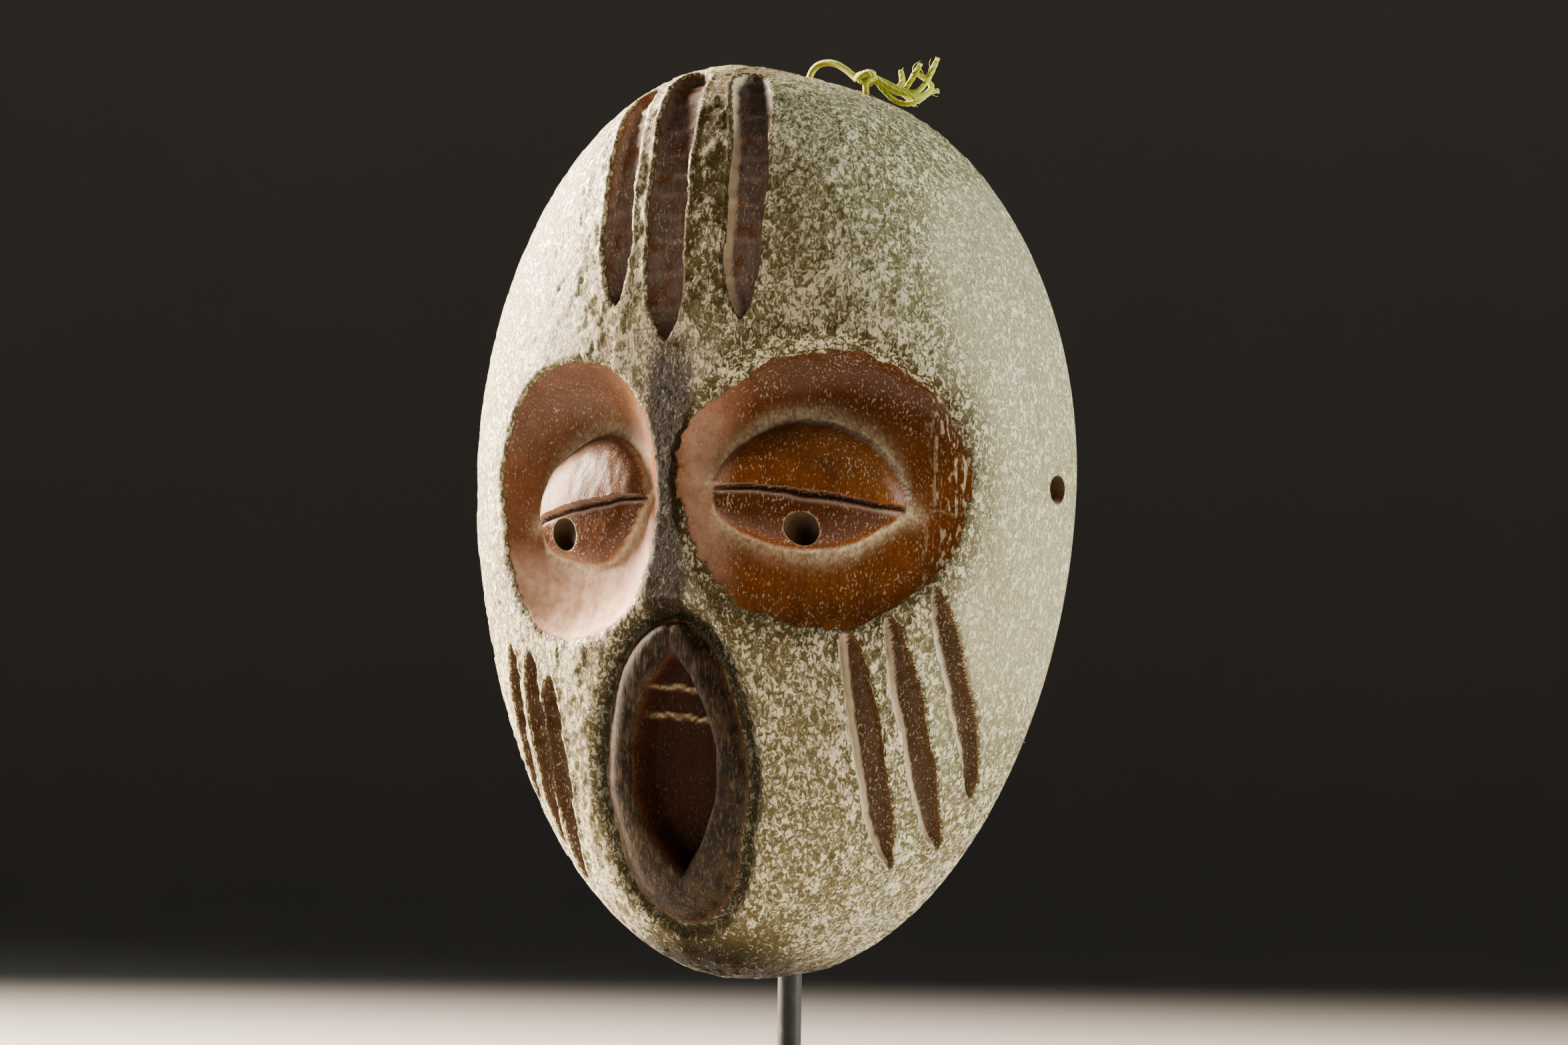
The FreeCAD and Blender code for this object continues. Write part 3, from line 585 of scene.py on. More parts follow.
def stains_and_painted_light(points, masks):
    """Where ochre and oil lie, the darker chin, and where fine dirt with painted sheen, and painted
    shade, go.
    """
    x, forward, z = points.T
    drift = layered_noise(points, 12.0, 101, 2)
    ridge = smooth(10.0, 4.0, np.abs(x) + 3.0 * drift) * smooth(50.0, 26.0, z + 6.0 * drift)
    ridge = ridge * smooth(-58.0, -44.0, z)
    between = smooth(2.5, 5.0, x) * smooth(22.0, 18.5, x) * smooth(40.0, 50.0, z + 4 * drift)
    cheek = bell(np.hypot(x - 20.0, z + 44.0) - 6.0, 11.0)
    under_mouth = bell(z + 152.0, 9.0) * smooth(34.0, 16.0, np.abs(x - 2.0))
    masks.stain = np.maximum.reduce([ridge, 0.75 * between, 0.5 * cheek, 0.45 * under_mouth])
    masks.chin_dark = smooth(-146.0, -158.0, z + 4 * drift) * smooth(36.0, 12.0, np.abs(x + 2.0))
    # Pale dust with painted sheen over it, only on the lit left side, brightest low in the left
    # socket and by the nose
    left = smooth(-6.0, -14.0, x)
    low = smooth(-22.0, -42.0, z + 0.25 * (x + 46) + 3 * drift)
    nose_side = 0.42 * smooth(-32.0, -20.0, x) * smooth(30.0, 0.0, z) * (1 - masks.eye)
    # Painted highlight on the left upper lid, where it faces the key light
    lid_highlight = 0.24 * masks.eye * (1 - masks.lower_lid) * smooth(-30.0, -44.0, x)
    # Pale dust with painted mauve sheen on the right socket's nose side
    right_inner = 0.42 * smooth(26.0, 12.0, x) * smooth(0.0, 8.0, x) * smooth(34.0, 6.0, z)
    lit_side_bloom = left * np.maximum.reduce([np.full_like(x, 0.10), low, nose_side, lid_highlight])
    masks.dust = np.clip(lit_side_bloom + right_inner, 0, 1) * masks.socket * (1 - masks.lower_lid)
    masks.hollow = smooth(0.6, 0.0, forward)
    masks.ridge = ridge
    # Painted shade in the sockets: under the brows, on the lower lids, and on the left eye's side
    # turned from the key light
    under_brow = smooth(2.0, 30.0, z + 0.35 * (np.abs(x) - 46.0)) * smooth(10.0, 40.0, np.abs(x))
    brow_shade = np.clip(under_brow, 0, 1) * (1 - masks.eye)
    lid_turn = masks.eye * left * smooth(-46.0, -34.0, x)
    masks.shade = masks.socket * np.maximum.reduce([brow_shade, masks.lower_lid, lid_turn])
    masks.drips = smooth(74.0, 86.0, x) * masks.socket


SPARE = 0.05


def keep_inside(points):
    """Holds every point within the size the mask has in the frame."""
    low = np.array([-HALF_WIDTH, 0.0, -CHIN_DROP])
    high = np.array([HALF_WIDTH, DOME_DEPTH - NOSE_CUT, CROWN_RISE])
    return np.clip(points, low + SPARE, high - SPARE)


# ---------------- mesh building

RIM_STEP = 3
NET = 433


def net_faces(count, flip, first=0):
    """Four-sided faces of a square net of points."""
    index = np.arange(count * count).reshape(count, count) + first
    a, b = index[:-1, :-1].ravel(), index[1:, :-1].ravel()
    c, d = index[1:, 1:].ravel(), index[:-1, 1:].ravel()
    return np.column_stack([a, d, c, b] if flip else [a, b, c, d])


def net_border(count, first=0):
    """The indices of a net's border, once round."""
    index = np.arange(count * count).reshape(count, count) + first
    return np.concatenate([index[:-1, 0], index[-1, :-1], index[:0:-1, -1], index[0, :0:-1]])


def make_object(name, points, faces, material):
    """A smooth mesh object from points in metres and lists of corners."""
    mesh = bpy.data.meshes.new(name)
    mesh.from_pydata(points.tolist(), [], faces)
    mesh.validate()
    mesh.shade_smooth()
    mesh.materials.append(material)
    made = bpy.data.objects.new(name, mesh)
    bpy.context.scene.collection.objects.link(made)
    return made


# The masks stored on the mesh, four to a colour
PAINTS = {
    "paint_a": ("socket", "gouge", "lips", "mouth"),
    "paint_b": ("plates", "smooth_side", "eye_ring", "socket_edge"),
    "paint_c": ("stain", "slit", "crack", "ridges"),
    "paint_d": ("gouge_edge", "trench", "dust", "bare"),
    "paint_e": ("chin_dark", "hollow", "shade", "wall"),
    "paint_f": ("drips", "lid", "frosted", "ridge"),
}


def paint(mesh, name, values):
    """Stores four masks as one colour on every vertex."""
    layer = mesh.attributes.new(name, "FLOAT_COLOR", "POINT")
    layer.data.foreach_set("color", np.ascontiguousarray(values, dtype=np.float32).ravel())


def rod_mesh(start, end, radius, sides=48):
    """A plain closed prism used as a drill."""
    start, end = np.array(start, dtype=float), np.array(end, dtype=float)
    direction = (end - start) / np.linalg.norm(end - start)
    helper = np.array([0.0, 0.0, 1.0]) if abs(direction[2]) < 0.9 else np.array([1.0, 0.0, 0.0])
    first = np.cross(direction, helper)
    first /= np.linalg.norm(first)
    second = np.cross(direction, first)
    turn = np.linspace(0, 2 * math.pi, sides, endpoint=False)
    circle = radius * (np.outer(np.cos(turn), first) + np.outer(np.sin(turn), second))
    points = np.vstack([start + circle, end + circle])
    around = [[i, (i + 1) % sides, sides + (i + 1) % sides, sides + i] for i in range(sides)]
    ends = [list(range(sides))[::-1], list(range(sides, 2 * sides))]
    return points, around + ends


def drill(target, start, end, radius):
    """Cuts a real hole through a mesh. Places are in the mask's own millimetres."""
    low, high = to_row(np.array([start, end]))
    points, faces = rod_mesh(low, high, radius * MM)
    mesh = bpy.data.meshes.new("drill")
    mesh.from_pydata(points.tolist(), [], faces)
    tool = bpy.data.objects.new("drill", mesh)
    bpy.context.scene.collection.objects.link(tool)
    cut = target.modifiers.new("cut", "BOOLEAN")
    cut.operation = "DIFFERENCE"
    cut.solver = "MANIFOLD"
    cut.object = tool
    bpy.context.view_layer.update()
    evaluated = target.evaluated_get(bpy.context.evaluated_depsgraph_get())
    drilled = bpy.data.meshes.new_from_object(evaluated)
    target.modifiers.clear()
    target.data = drilled
    bpy.data.objects.remove(tool)


THICKER_AT_EYES = 6.0
RIM_ROUNDING = 0.9
# The holes, as how far forward, how high and how wide (radius), or where across the crown
STRAP_HOLE = (15.0, -7.0, 4.5)
TWINE_HOLES = (10.0, 32.0)
TWINE_HOLE_FORWARD = 9.0
TWINE_HOLE_RADIUS = 2.6


def outer_skin():
    """The carved face: its worked points and the masks of its paints."""
    net = dome_net(NET, 0.0, 0.0)
    normals = net_normals(net).reshape(-1, 3)
    flat = net.reshape(-1, 3)
    carved, masks = carve(flat, normals)
    carved_normals = net_normals(carved.reshape(NET, NET, 3)).reshape(-1, 3)
    worked = weather(carved, carved_normals, masks)
    stains_and_painted_light(flat, masks)
    rounding = RIM_ROUNDING * smooth(3.0, 0.0, flat[:, 1])
    tucked = normals * np.array([1.0, 0.0, 1.0]) * rounding[:, None]
    border = net_border(NET)
    worked = keep_inside(worked - tucked)
    worked[border] = keep_inside(flat - tucked)[border]
    worked[border, 1] = 0.0
    return worked, masks


def inner_skin(count):
    """The hollow behind the face, hacked out with a curved blade and thicker behind the eyes."""
    net = dome_net(count, SIDE_WALL, FRONT_WALL)
    normals = net_normals(net).reshape(-1, 3)
    flat = net.reshape(-1, 3)
    hacked = lattice_noise(flat * np.array([1.0, 1.0, 0.55]), 11.0, 91)
    strokes = 0.9 * np.abs(hacked) + 0.25 * layered_noise(flat, 4.0, 95, 2)
    off_rim = smooth(0.5, 6.0, flat[:, 1])
    from_hole = np.hypot(np.abs(flat[:, 0]) - EYE_HOLE[0], flat[:, 2] - EYE_HOLE[1])
    thicker = THICKER_AT_EYES * bell(from_hole, 18.0)
    worked = flat + normals * (strokes * off_rim - thicker)[:, None]
    worked[net_border(count), 1] = 0.0
    return worked


def rim_faces(inner_count):
    """The flat back rim, which joins every step of the inner skin to RIM_STEP steps of the outer."""
    outside = net_border(NET)
    inside = net_border(inner_count, NET * NET)
    faces = []
    for step in range(len(inside)):
        first = step * RIM_STEP
        fan = [int(outside[(first + extra) % len(outside)]) for extra in range(RIM_STEP + 1)]
        faces.append([int(inside[step]), int(inside[(step + 1) % len(inside)])] + fan[::-1])
    return faces


def drill_holes(mask):
    """The two peep holes, the two strap holes in the sides and the two twine holes in the crown."""
    forward, level, radius = STRAP_HOLE
    for side in (-1, 1):
        x, z = side * EYE_HOLE[0], EYE_HOLE[1]
        drill(mask, (x, 20.0, z), (x, 110.0, z), EYE_HOLE_RADIUS)
    for side in (-1, 1):
        drill(mask, (side * 60.0, forward, level), (side * 130.0, forward, level), radius)
    for x in TWINE_HOLES:
        drill(mask, (x, TWINE_HOLE_FORWARD, 95.0), (x, TWINE_HOLE_FORWARD, 150.0), TWINE_HOLE_RADIUS)


def make_mask(material):
    """The whole mask as one closed mesh: carved face, hollow back, flat rim and real holes."""
    inner_count = (NET - 1) // RIM_STEP + 1
    outer, masks = outer_skin()
    inner = inner_skin(inner_count)
    faces = net_faces(NET, False).tolist() + net_faces(inner_count, True, NET * NET).tolist()
    points = to_row(np.vstack([outer, inner]))
    mask = make_object("carved_mask", points, faces + rim_faces(inner_count), material)
    for name, members in PAINTS.items():
        layers = [np.append(getattr(masks, member), np.full(len(inner), float(member == "hollow")))
                  for member in members]
        paint(mask.data, name, np.column_stack(layers))
    bpy.context.view_layer.update()
    drill_holes(mask)
    return mask


# ---------------- material building

class Shader:
    """A short way to build one procedural material. Colours are linear, lengths in millimetres."""

    def __init__(self, name):
        self.material = bpy.data.materials.new(name)
        self.material.use_nodes = True
        self.nodes = self.material.node_tree.nodes
        self.links = self.material.node_tree.links
        self.surface = self.nodes["Principled BSDF"]
        place = self.nodes.new("ShaderNodeTexCoord").outputs["Object"]
        self.place = self.vector("MULTIPLY", place, (1000.0, 1000.0, 1000.0))

    def put(self, socket, value):
        """Feeds a socket from another node, or sets its own value."""
        if isinstance(value, bpy.types.NodeSocket):
            self.links.new(value, socket)
        elif isinstance(value, tuple) and len(value) == 3 and socket.type == "RGBA":
            socket.default_value = (*value, 1.0)
        else:
            socket.default_value = value

    def vector(self, operation, a, b):
        """One step of vector arithmetic."""
        node = self.nodes.new("ShaderNodeVectorMath")
        node.operation = operation
        self.put(node.inputs[0], a)
        self.put(node.inputs[1], b)
        return node.outputs["Vector"]

    def math(self, operation, a, b=0.5):
        """One step of arithmetic. Sums and differences are held between 0 and 1."""
        node = self.nodes.new("ShaderNodeMath")
        node.operation = operation
        node.use_clamp = operation in ("ADD", "SUBTRACT", "MULTIPLY_ADD")
        self.put(node.inputs[0], a)
        self.put(node.inputs[1], b)
        return node.outputs[0]

    def times(self, *values):
        """The product of the values."""
        total = values[0]
        for value in values[1:]:
            total = self.math("MULTIPLY", total, value)
        return total

    def plus(self, *values):
        """The sum of the values, held at 1."""
        total = values[0]
        for value in values[1:]:
            total = self.math("ADD", total, value)
        return total

    def flip(self, value):
        """1 less the value."""
        return self.math("SUBTRACT", 1.0, value)

    def mix(self, share, a, b):
        """Colour a where share is 0, colour b where it is 1."""
        node = self.nodes.new("ShaderNodeMix")
        node.data_type = "RGBA"
        self.put(node.inputs[0], share)
        self.put(node.inputs[6], a)
        self.put(node.inputs[7], b)
        return node.outputs[2]

    def ramp(self, value, low, high, start=0.0, end=1.0):
        """Rises from start to end while the value goes from low to high."""
        node = self.nodes.new("ShaderNodeMapRange")
        node.interpolation_type = "SMOOTHSTEP"
        for socket, amount in zip(node.inputs, (value, low, high, start, end)):
            self.put(socket, amount)
        return node.outputs[0]

    def noise(self, size, detail=3.0, tall=1.0, twist=0.0, rough=0.55):
        """Noise from 0 to 1. Its features are about size millimetres wide and tall times higher."""
        node = self.nodes.new("ShaderNodeTexNoise")
        scaled = self.vector("MULTIPLY", self.place, (1.0, 1.0, 1.0 / tall))
        self.put(node.inputs["Vector"], scaled)
        for label, amount in (("Scale", 1.0 / size), ("Detail", detail), ("Roughness", rough)):
            node.inputs[label].default_value = amount
        node.inputs["Distortion"].default_value = twist
        return node.outputs["Fac"]

    def cracks(self, size, width, wander=1.5):
        """Thin lines between cells about size millimetres across: 1 on a line."""
        drift = self.nodes.new("ShaderNodeTexNoise")
        self.put(drift.inputs["Vector"], self.place)
        drift.inputs["Scale"].default_value = 2.0 / size
        moved = self.vector("MULTIPLY", drift.outputs["Color"], (wander, wander, wander))
        node = self.nodes.new("ShaderNodeTexVoronoi")
        node.feature = "DISTANCE_TO_EDGE"
        self.put(node.inputs["Vector"], self.vector("ADD", self.place, moved))
        node.inputs["Scale"].default_value = 1.0 / size
        return self.ramp(node.outputs["Distance"], 0.0, width / size, 1.0, 0.0)

    def masks(self, name):
        """The four masks stored in one painted colour."""
        node = self.nodes.new("ShaderNodeAttribute")
        node.attribute_name = name
        split = self.nodes.new("ShaderNodeSeparateColor")
        self.put(split.inputs[0], node.outputs["Color"])
        return (*split.outputs[:3], node.outputs["Alpha"])

    def finish(self, colour, roughness, height=None, depth=0.3, strength=1.0):
        """Connects colour and roughness, and a bump whose full height is depth millimetres."""
        self.put(self.surface.inputs["Base Color"], colour)
        self.put(self.surface.inputs["Roughness"], roughness)
        if height is not None:
            bump = self.nodes.new("ShaderNodeBump")
            bump.inputs["Distance"].default_value = depth * MM
            bump.inputs["Strength"].default_value = strength
            self.put(bump.inputs["Height"], height)
            self.put(self.surface.inputs["Normal"], bump.outputs["Normal"])
        return self.material


# ---------------- the mask's wood and whitewash

def bare_wood(s, masks):
    """The dark, waxed wood of sockets, marks and lips, with painted shade and painted highlights
    round the eyes.
    """
    long_grain = s.noise(1.1, 4.0, 9.0)
    blotch = s.noise(16.0, 3.0, twist=0.6)
    warm = s.mix(blotch, (0.062, 0.0175, 0.0026), (0.215, 0.066, 0.008))
    warm = s.mix(s.ramp(long_grain, 0.35, 0.75, 0.0, 0.50), warm, (0.055, 0.017, 0.005))
    # Painted shade: darker brown under the brows, on the lower lids and on the left eye's nose side
    warm = s.mix(s.times(masks.shade, 0.75), warm, (0.04, 0.012, 0.004))
    mauve = s.mix(s.noise(2.6, 4.0, 4.0), (0.055, 0.034, 0.026), (0.235, 0.172, 0.148))
    rust = s.ramp(s.noise(6.0, 3.0), 0.53, 0.66)
    mauve = s.mix(s.times(rust, 0.80), mauve, (0.12, 0.038, 0.011))
    mauve = s.mix(s.ramp(long_grain, 0.50, 0.72, 0.0, 0.55), mauve, (0.045, 0.022, 0.015))
    brown = s.mix(s.noise(3.4, 4.0, 3.0), (0.024, 0.011, 0.0035), (0.075, 0.04, 0.015))
    colour = s.mix(masks.gouge, warm, s.mix(masks.frosted, brown, mauve))
    pale_wall = s.mix(s.noise(2.4, 3.0, 3.0), (0.52, 0.39, 0.23), (0.7, 0.62, 0.47))
    colour = s.mix(s.times(masks.wall, 0.68), colour, pale_wall)
    lip_patch = s.ramp(s.noise(5.0, 4.0), 0.38, 0.64)
    lips = s.mix(lip_patch, (0.006, 0.0034, 0.001), (0.027, 0.016, 0.0062))
    fibre = s.ramp(s.noise(0.8, 3.0, 7.0), 0.52, 0.68, 0.0, 0.50)
    lips = s.mix(fibre, lips, (0.105, 0.074, 0.044))
    colour = s.mix(masks.lips, colour, lips)
    deep = s.mix(s.noise(10.0, 4.0, 6.0), (0.009, 0.002, 0.0003), (0.03, 0.0072, 0.0008))
    colour = s.mix(masks.mouth, colour, deep)
    # Painted highlight: a pale band along the top edge of each lower lid
    colour = s.mix(s.times(masks.lid, 0.70), colour, (0.3, 0.23, 0.185))
    # Painted shade: near black down the slit between the lids
    return s.mix(masks.slit, colour, (0.01, 0.005, 0.004))


def dust_on_wood(s, masks, colour):
    """Pale specks, the built-up ring round each eye, and a pink haze of fine dirt with painted sheen.
    """
    speck = s.ramp(s.noise(0.65, 2.0, 2.0), 0.575, 0.66)
    patch = s.ramp(s.noise(9.0, 3.0), 0.35, 0.65)
    speck = s.times(speck, s.plus(s.times(patch, 0.60), 0.25))
    broken = s.ramp(s.noise(1.6, 4.0), 0.36, 0.62)
    ring = s.times(masks.eye_ring, s.plus(s.times(broken, 0.60), 0.42))
    drip = s.ramp(s.noise(1.5, 2.0, 4.5), 0.53, 0.62)
    pale = s.plus(s.times(speck, s.flip(masks.dust), 0.55), ring, s.times(drip, masks.drips, 0.85))
    # Painted sheen with pale dust, in pink, mostly on the lit left socket
    bloom = s.times(masks.dust, s.ramp(s.noise(3.2, 4.0), 0.25, 0.70, 0.60, 1.0))
    colour = s.mix(s.times(bloom, 0.95), colour, (0.68, 0.455, 0.33))
    on_wood = s.times(pale, masks.bare, s.flip(s.times(s.plus(masks.mouth, masks.lips), 0.88)))
    colour = s.mix(on_wood, colour, (0.6, 0.535, 0.37))
    line = s.plus(s.times(masks.ridges, s.plus(broken, 0.3)), s.times(masks.crack, broken))
    return s.mix(line, colour, (0.43, 0.33, 0.19))


def whitewash(s, masks):
    """Thick flaking paint with pale crests, tan slopes and dark pits, burnished at the sides."""
    worm = s.noise(1.4, 5.0, 1.5, twist=1.0, rough=0.64)
    cover = s.times(s.math("SUBTRACT", s.noise(20.0, 3.0), 0.5), 0.16)
    thick = s.times(s.math("SUBTRACT", masks.plates, 0.5), 0.09)
    thin = s.times(s.plus(masks.stain, masks.chin_dark), 0.075)
    level = s.math("SUBTRACT", s.plus(worm, cover, thick), thin)
    pit = s.ramp(level, 0.394, 0.442, 1.0, 0.0)
    crest = s.ramp(level, 0.462, 0.572)
    tan = s.mix(s.noise(14.0, 3.0), (0.258, 0.222, 0.078), (0.4, 0.358, 0.172))
    pale = s.mix(s.noise(9.0, 3.0), (0.56, 0.522, 0.335), (0.68, 0.648, 0.465))
    rough_part = s.mix(crest, tan, pale)
    rough_part = s.mix(s.times(pit, 0.80), rough_part, (0.062, 0.048, 0.012))
    side_tone = s.mix(s.noise(11.0, 4.0, 2.6), (0.5, 0.468, 0.285), (0.7, 0.664, 0.47))
    scuff = s.ramp(s.noise(4.0, 5.0, 6.0, rough=0.65), 0.54, 0.70)
    side_part = s.mix(s.times(scuff, 0.60), side_tone, (0.29, 0.24, 0.125))
    scratch = s.cracks(9.0, 0.22, 7.0)
    side_part = s.mix(s.times(scratch, 0.16), side_part, (0.15, 0.115, 0.06))
    side_part = s.mix(s.times(pit, 0.30), side_part, (0.3, 0.265, 0.15))
    colour = s.mix(s.times(masks.smooth_side, 0.68), rough_part, side_part)
    return colour, crest, s.ramp(level, 0.38, 0.58)


def stains_and_trench_shade(s, masks, colour, crest):
    """Ochre and dark oil soaked in round the carving and over the ridge, painted shade in the lip
    trench, a darker chin.
    """
    broken = s.ramp(s.noise(4.0, 4.0), 0.30, 0.62)
    uncovered = s.flip(s.times(crest, 0.72))
    ochre = s.mix(s.noise(8.0, 2.0), (0.12, 0.078, 0.01), (0.05, 0.034, 0.009))
    colour = s.mix(s.times(masks.stain, s.plus(s.times(broken, 0.4), 0.55), uncovered), colour, ochre)
    edge = s.plus(s.times(masks.gouge_edge, 0.65), s.times(masks.socket_edge, 0.80))
    colour = s.mix(s.times(edge, s.plus(s.times(broken, 0.6), 0.35), uncovered), colour, ochre)
    # Painted shade in the trench round the lips
    colour = s.mix(s.times(masks.trench, 0.92), colour, (0.022, 0.019, 0.01))
    # Dark oil on the nose ridge, and the same dark colour towards the chin's lower edge
    dark = s.plus(masks.chin_dark, masks.ridge)
    oil = s.mix(s.noise(3.0, 4.0, 2.5), (0.009, 0.0055, 0.0009), (0.04, 0.026, 0.006))
    crumb = s.times(s.ramp(crest, 0.75, 1.0), 0.30)
    return s.mix(s.times(dark, s.flip(crumb)), colour, oil)


def mask_material():
    """Wood, whitewash and the bare hollow as one material, told apart by the mesh's masks."""
    s = Shader("whitewashed_wood")
    masks = SimpleNamespace()
    for paint_name, members in PAINTS.items():
        vars(masks).update(zip(members, s.masks(paint_name)))
    wood = dust_on_wood(s, masks, bare_wood(s, masks))
    white, crest, raised = whitewash(s, masks)
    white = stains_and_trench_shade(s, masks, white, crest)
    ragged = s.math("ADD", masks.bare, s.times(s.math("SUBTRACT", s.noise(1.8, 3.0), 0.5), 0.9))
    bare = s.ramp(ragged, 0.38, 0.62)
    colour = s.mix(bare, white, wood)
    back_grain = s.noise(2.2, 4.0, 10.0)
    back = s.mix(back_grain, (0.07, 0.038, 0.018), (0.19, 0.12, 0.065))
    back = s.mix(s.ramp(s.noise(26.0, 3.0), 0.45, 0.70), back, (0.048, 0.028, 0.014))
    colour = s.mix(masks.hollow, colour, back)
    fine = s.noise(0.6, 2.0, 3.0)
    relief = s.times(raised, s.flip(bare), s.ramp(masks.smooth_side, 0.0, 1.0, 1.0, 0.34))
    relief = s.math("ADD", s.times(relief, 0.85), s.times(fine, 0.07))
    waxed = s.ramp(fine, 0.2, 0.8, 0.24, 0.38)
    dull = s.plus(s.times(masks.gouge, 0.16), s.times(masks.lips, 0.26), s.times(masks.mouth, 0.40))
    waxed = s.plus(waxed, s.plus(dull, s.times(masks.dust, 0.8)))
    painted = s.ramp(crest, 0.0, 1.0, 0.66, 0.44)
    burnished = s.ramp(fine, 0.2, 0.8, 0.24, 0.38)
    shine = s.mix(masks.smooth_side, painted, burnished)
    shine = s.mix(bare, shine, waxed)
    shine = s.mix(masks.hollow, shine, (0.78, 0.78, 0.78))
    s.surface.inputs["Specular IOR Level"].default_value = 0.13
    return s.finish(colour, shine, relief, 1.60)


# ---------------- the green twine

# The loop from its knot, down into one hole, round, and up out of the other: x, forward, z
TWINE_ROUTE = [
    (32.0, 9.0, 130.5), (32.3, 9.0, 125.0), (32.2, 9.2, 117.0), (33.4, 9.6, 107.0),
    (34.6, 9.4, 96.0), (34.2, 8.4, 85.0), (31.6, 7.6, 75.5), (25.8, 7.2, 68.5),
    (18.2, 7.4, 68.0), (12.2, 8.0, 73.5), (9.4, 8.6, 82.5), (8.8, 9.2, 93.0),
    (9.2, 9.4, 104.0), (9.9, 9.2, 114.5), (10.1, 9.0, 123.5), (9.9, 9.0, 132.2),
    (12.4, 8.8, 138.6), (18.8, 8.6, 139.6), (25.0, 8.6, 136.2), (28.6, 8.8, 132.6),
]
TWINE_RADIUS = 1.1
TUFT_ROOT = (35.0, 6.4, 132.9)


def twine_material():
    """Dyed bast fibre: bright yellow-green, darker along some fibres, bleached in patches."""
    s = Shader("green_raffia")
    fibre = s.noise(0.35, 3.0, 4.0)
    patch = s.noise(6.0, 3.0)
    colour = s.mix(patch, (0.4, 0.48, 0.022), (0.76, 0.8, 0.07))
    colour = s.mix(s.ramp(fibre, 0.40, 0.65, 0.0, 0.6), colour, (0.19, 0.25, 0.012))
    worn = s.ramp(s.noise(3.4, 3.0), 0.55, 0.70, 0.0, 0.6)
    colour = s.mix(worn, colour, (0.43, 0.3, 0.07))
    rough = s.ramp(fibre, 0.2, 0.8, 0.70, 0.92)
    s.surface.inputs["Sheen Weight"].default_value = 0.25
    return s.finish(colour, rough, fibre, 0.25)


def twine_curve(material):
    """The cord itself: one soft line with its real thickness."""
    curve = bpy.data.curves.new("twine_core", "CURVE")
    curve.dimensions = "3D"
    curve.resolution_u = 12
    spline = curve.splines.new("NURBS")
    route = to_row(TWINE_ROUTE)
    spline.points.add(len(route) - 1)
    for point, place in zip(spline.points, route):
        point.co = (*place, 1.0)
    spline.order_u = 3
    spline.use_endpoint_u = True
    made = bpy.data.objects.new("twine_core", curve)
    bpy.context.scene.collection.objects.link(made)
    line_mesh = bpy.data.meshes.new_from_object(made)
    line = np.array([vertex.co[:] for vertex in line_mesh.vertices])
    bpy.data.meshes.remove(line_mesh)
    curve.bevel_depth = TWINE_RADIUS * MM
    curve.bevel_resolution = 4
    curve.use_fill_caps = True
    curve.materials.append(material)
    return made, line


def evenly(line, count):
    """A line's points, spread evenly along it."""
    walked = walk(line)
    even = np.linspace(0, walked[-1], count)
    return np.column_stack([np.interp(even, walked, line[:, axis]) for axis in range(3)])


def along_frames(line):
    """Two directions square to a line at each of its points, without needless twist."""
    tangent = unit(np.gradient(line, axis=0))
    helper = np.array([0.0, 0.0, 1.0]) if abs(tangent[0][2]) < 0.8 else np.array([0.0, 1.0, 0.0])
    first = np.cross(tangent[0], helper)
    first /= np.linalg.norm(first)
    firsts = []
    for step in tangent:
        first = first - step * np.dot(first, step)
        first = first / np.linalg.norm(first)
        firsts.append(first)
    firsts = np.array(firsts)
    return firsts, np.cross(tangent, firsts)


def tube(line, radii, sides=7):
    """Points and faces of a round strand along a line, closed at both ends."""
    first, second = along_frames(line)
    turn = np.linspace(0, 2 * math.pi, sides, endpoint=False)[None, :, None]
    ring = np.cos(turn) * first[:, None, :] + np.sin(turn) * second[:, None, :]
    points = (line[:, None, :] + ring * np.asarray(radii)[:, None, None]).reshape(-1, 3)
    faces = []
    for step in range(len(line) - 1):
        for side in range(sides):
            after = (side + 1) % sides
            low = step * sides
            faces.append([low + side, low + after, low + sides + after, low + sides + side])
    last = (len(line) - 1) * sides
    return points, faces + [list(range(sides))[::-1], [last + side for side in range(sides)]]


def twisted(line, bundle_radius, strand_radius, strands, turn_length, phase=0.0, fray=0.0):
    """Strands wound round a line like the plies of a cord. Lengths in metres."""
    first, second = along_frames(line)
    walked = walk(line)
    share = walked / walked[-1]
    made = []
    for strand in range(strands):
        angle = phase + 2 * math.pi * (strand / strands + walked / turn_length)
        spread = bundle_radius * (1 + fray * share ** 2)
        wander = 1 + 0.18 * np.sin(walked / turn_length * 5.0 + strand * 1.7 + phase)
        offset = np.cos(angle)[:, None] * first + np.sin(angle)[:, None] * second
        path = line + offset * (spread * wander)[:, None]
        radii = strand_radius * (1 - 0.55 * np.clip((share - 0.85) / 0.15, 0, 1) * (fray > 0))
        made.append(tube(path, radii * np.ones(len(line))))
    return made


def joined(name, parts, material):
    """One mesh object from many (points, faces) parts."""
    points, faces, start = [], [], 0
    for part_points, part_faces in parts:
        points.append(part_points)
        faces += [[start + corner for corner in face] for face in part_faces]
        start += len(part_points)
    return make_object(name, np.vstack(points), faces, material)


def threaded(places, count=40):
    """A smooth line through places in millimetres, as row points in metres."""
    places = np.array(places, dtype=float)
    padded = np.vstack([2 * places[0] - places[1], places, 2 * places[-1] - places[-2]])
    stretch = len(places) - 1
    share = np.linspace(0, stretch, count)
    first = np.minimum(share.astype(int), stretch - 1)
    part = (share - first)[:, None]
    before, start, end, after = (padded[first + step] for step in range(4))
    line = 2 * start + (end - before) * part
    line = line + (2 * before - 5 * start + 4 * end - after) * part ** 2
    line = line + (3 * start - before - 3 * end + after) * part ** 3
    return to_row(line / 2)


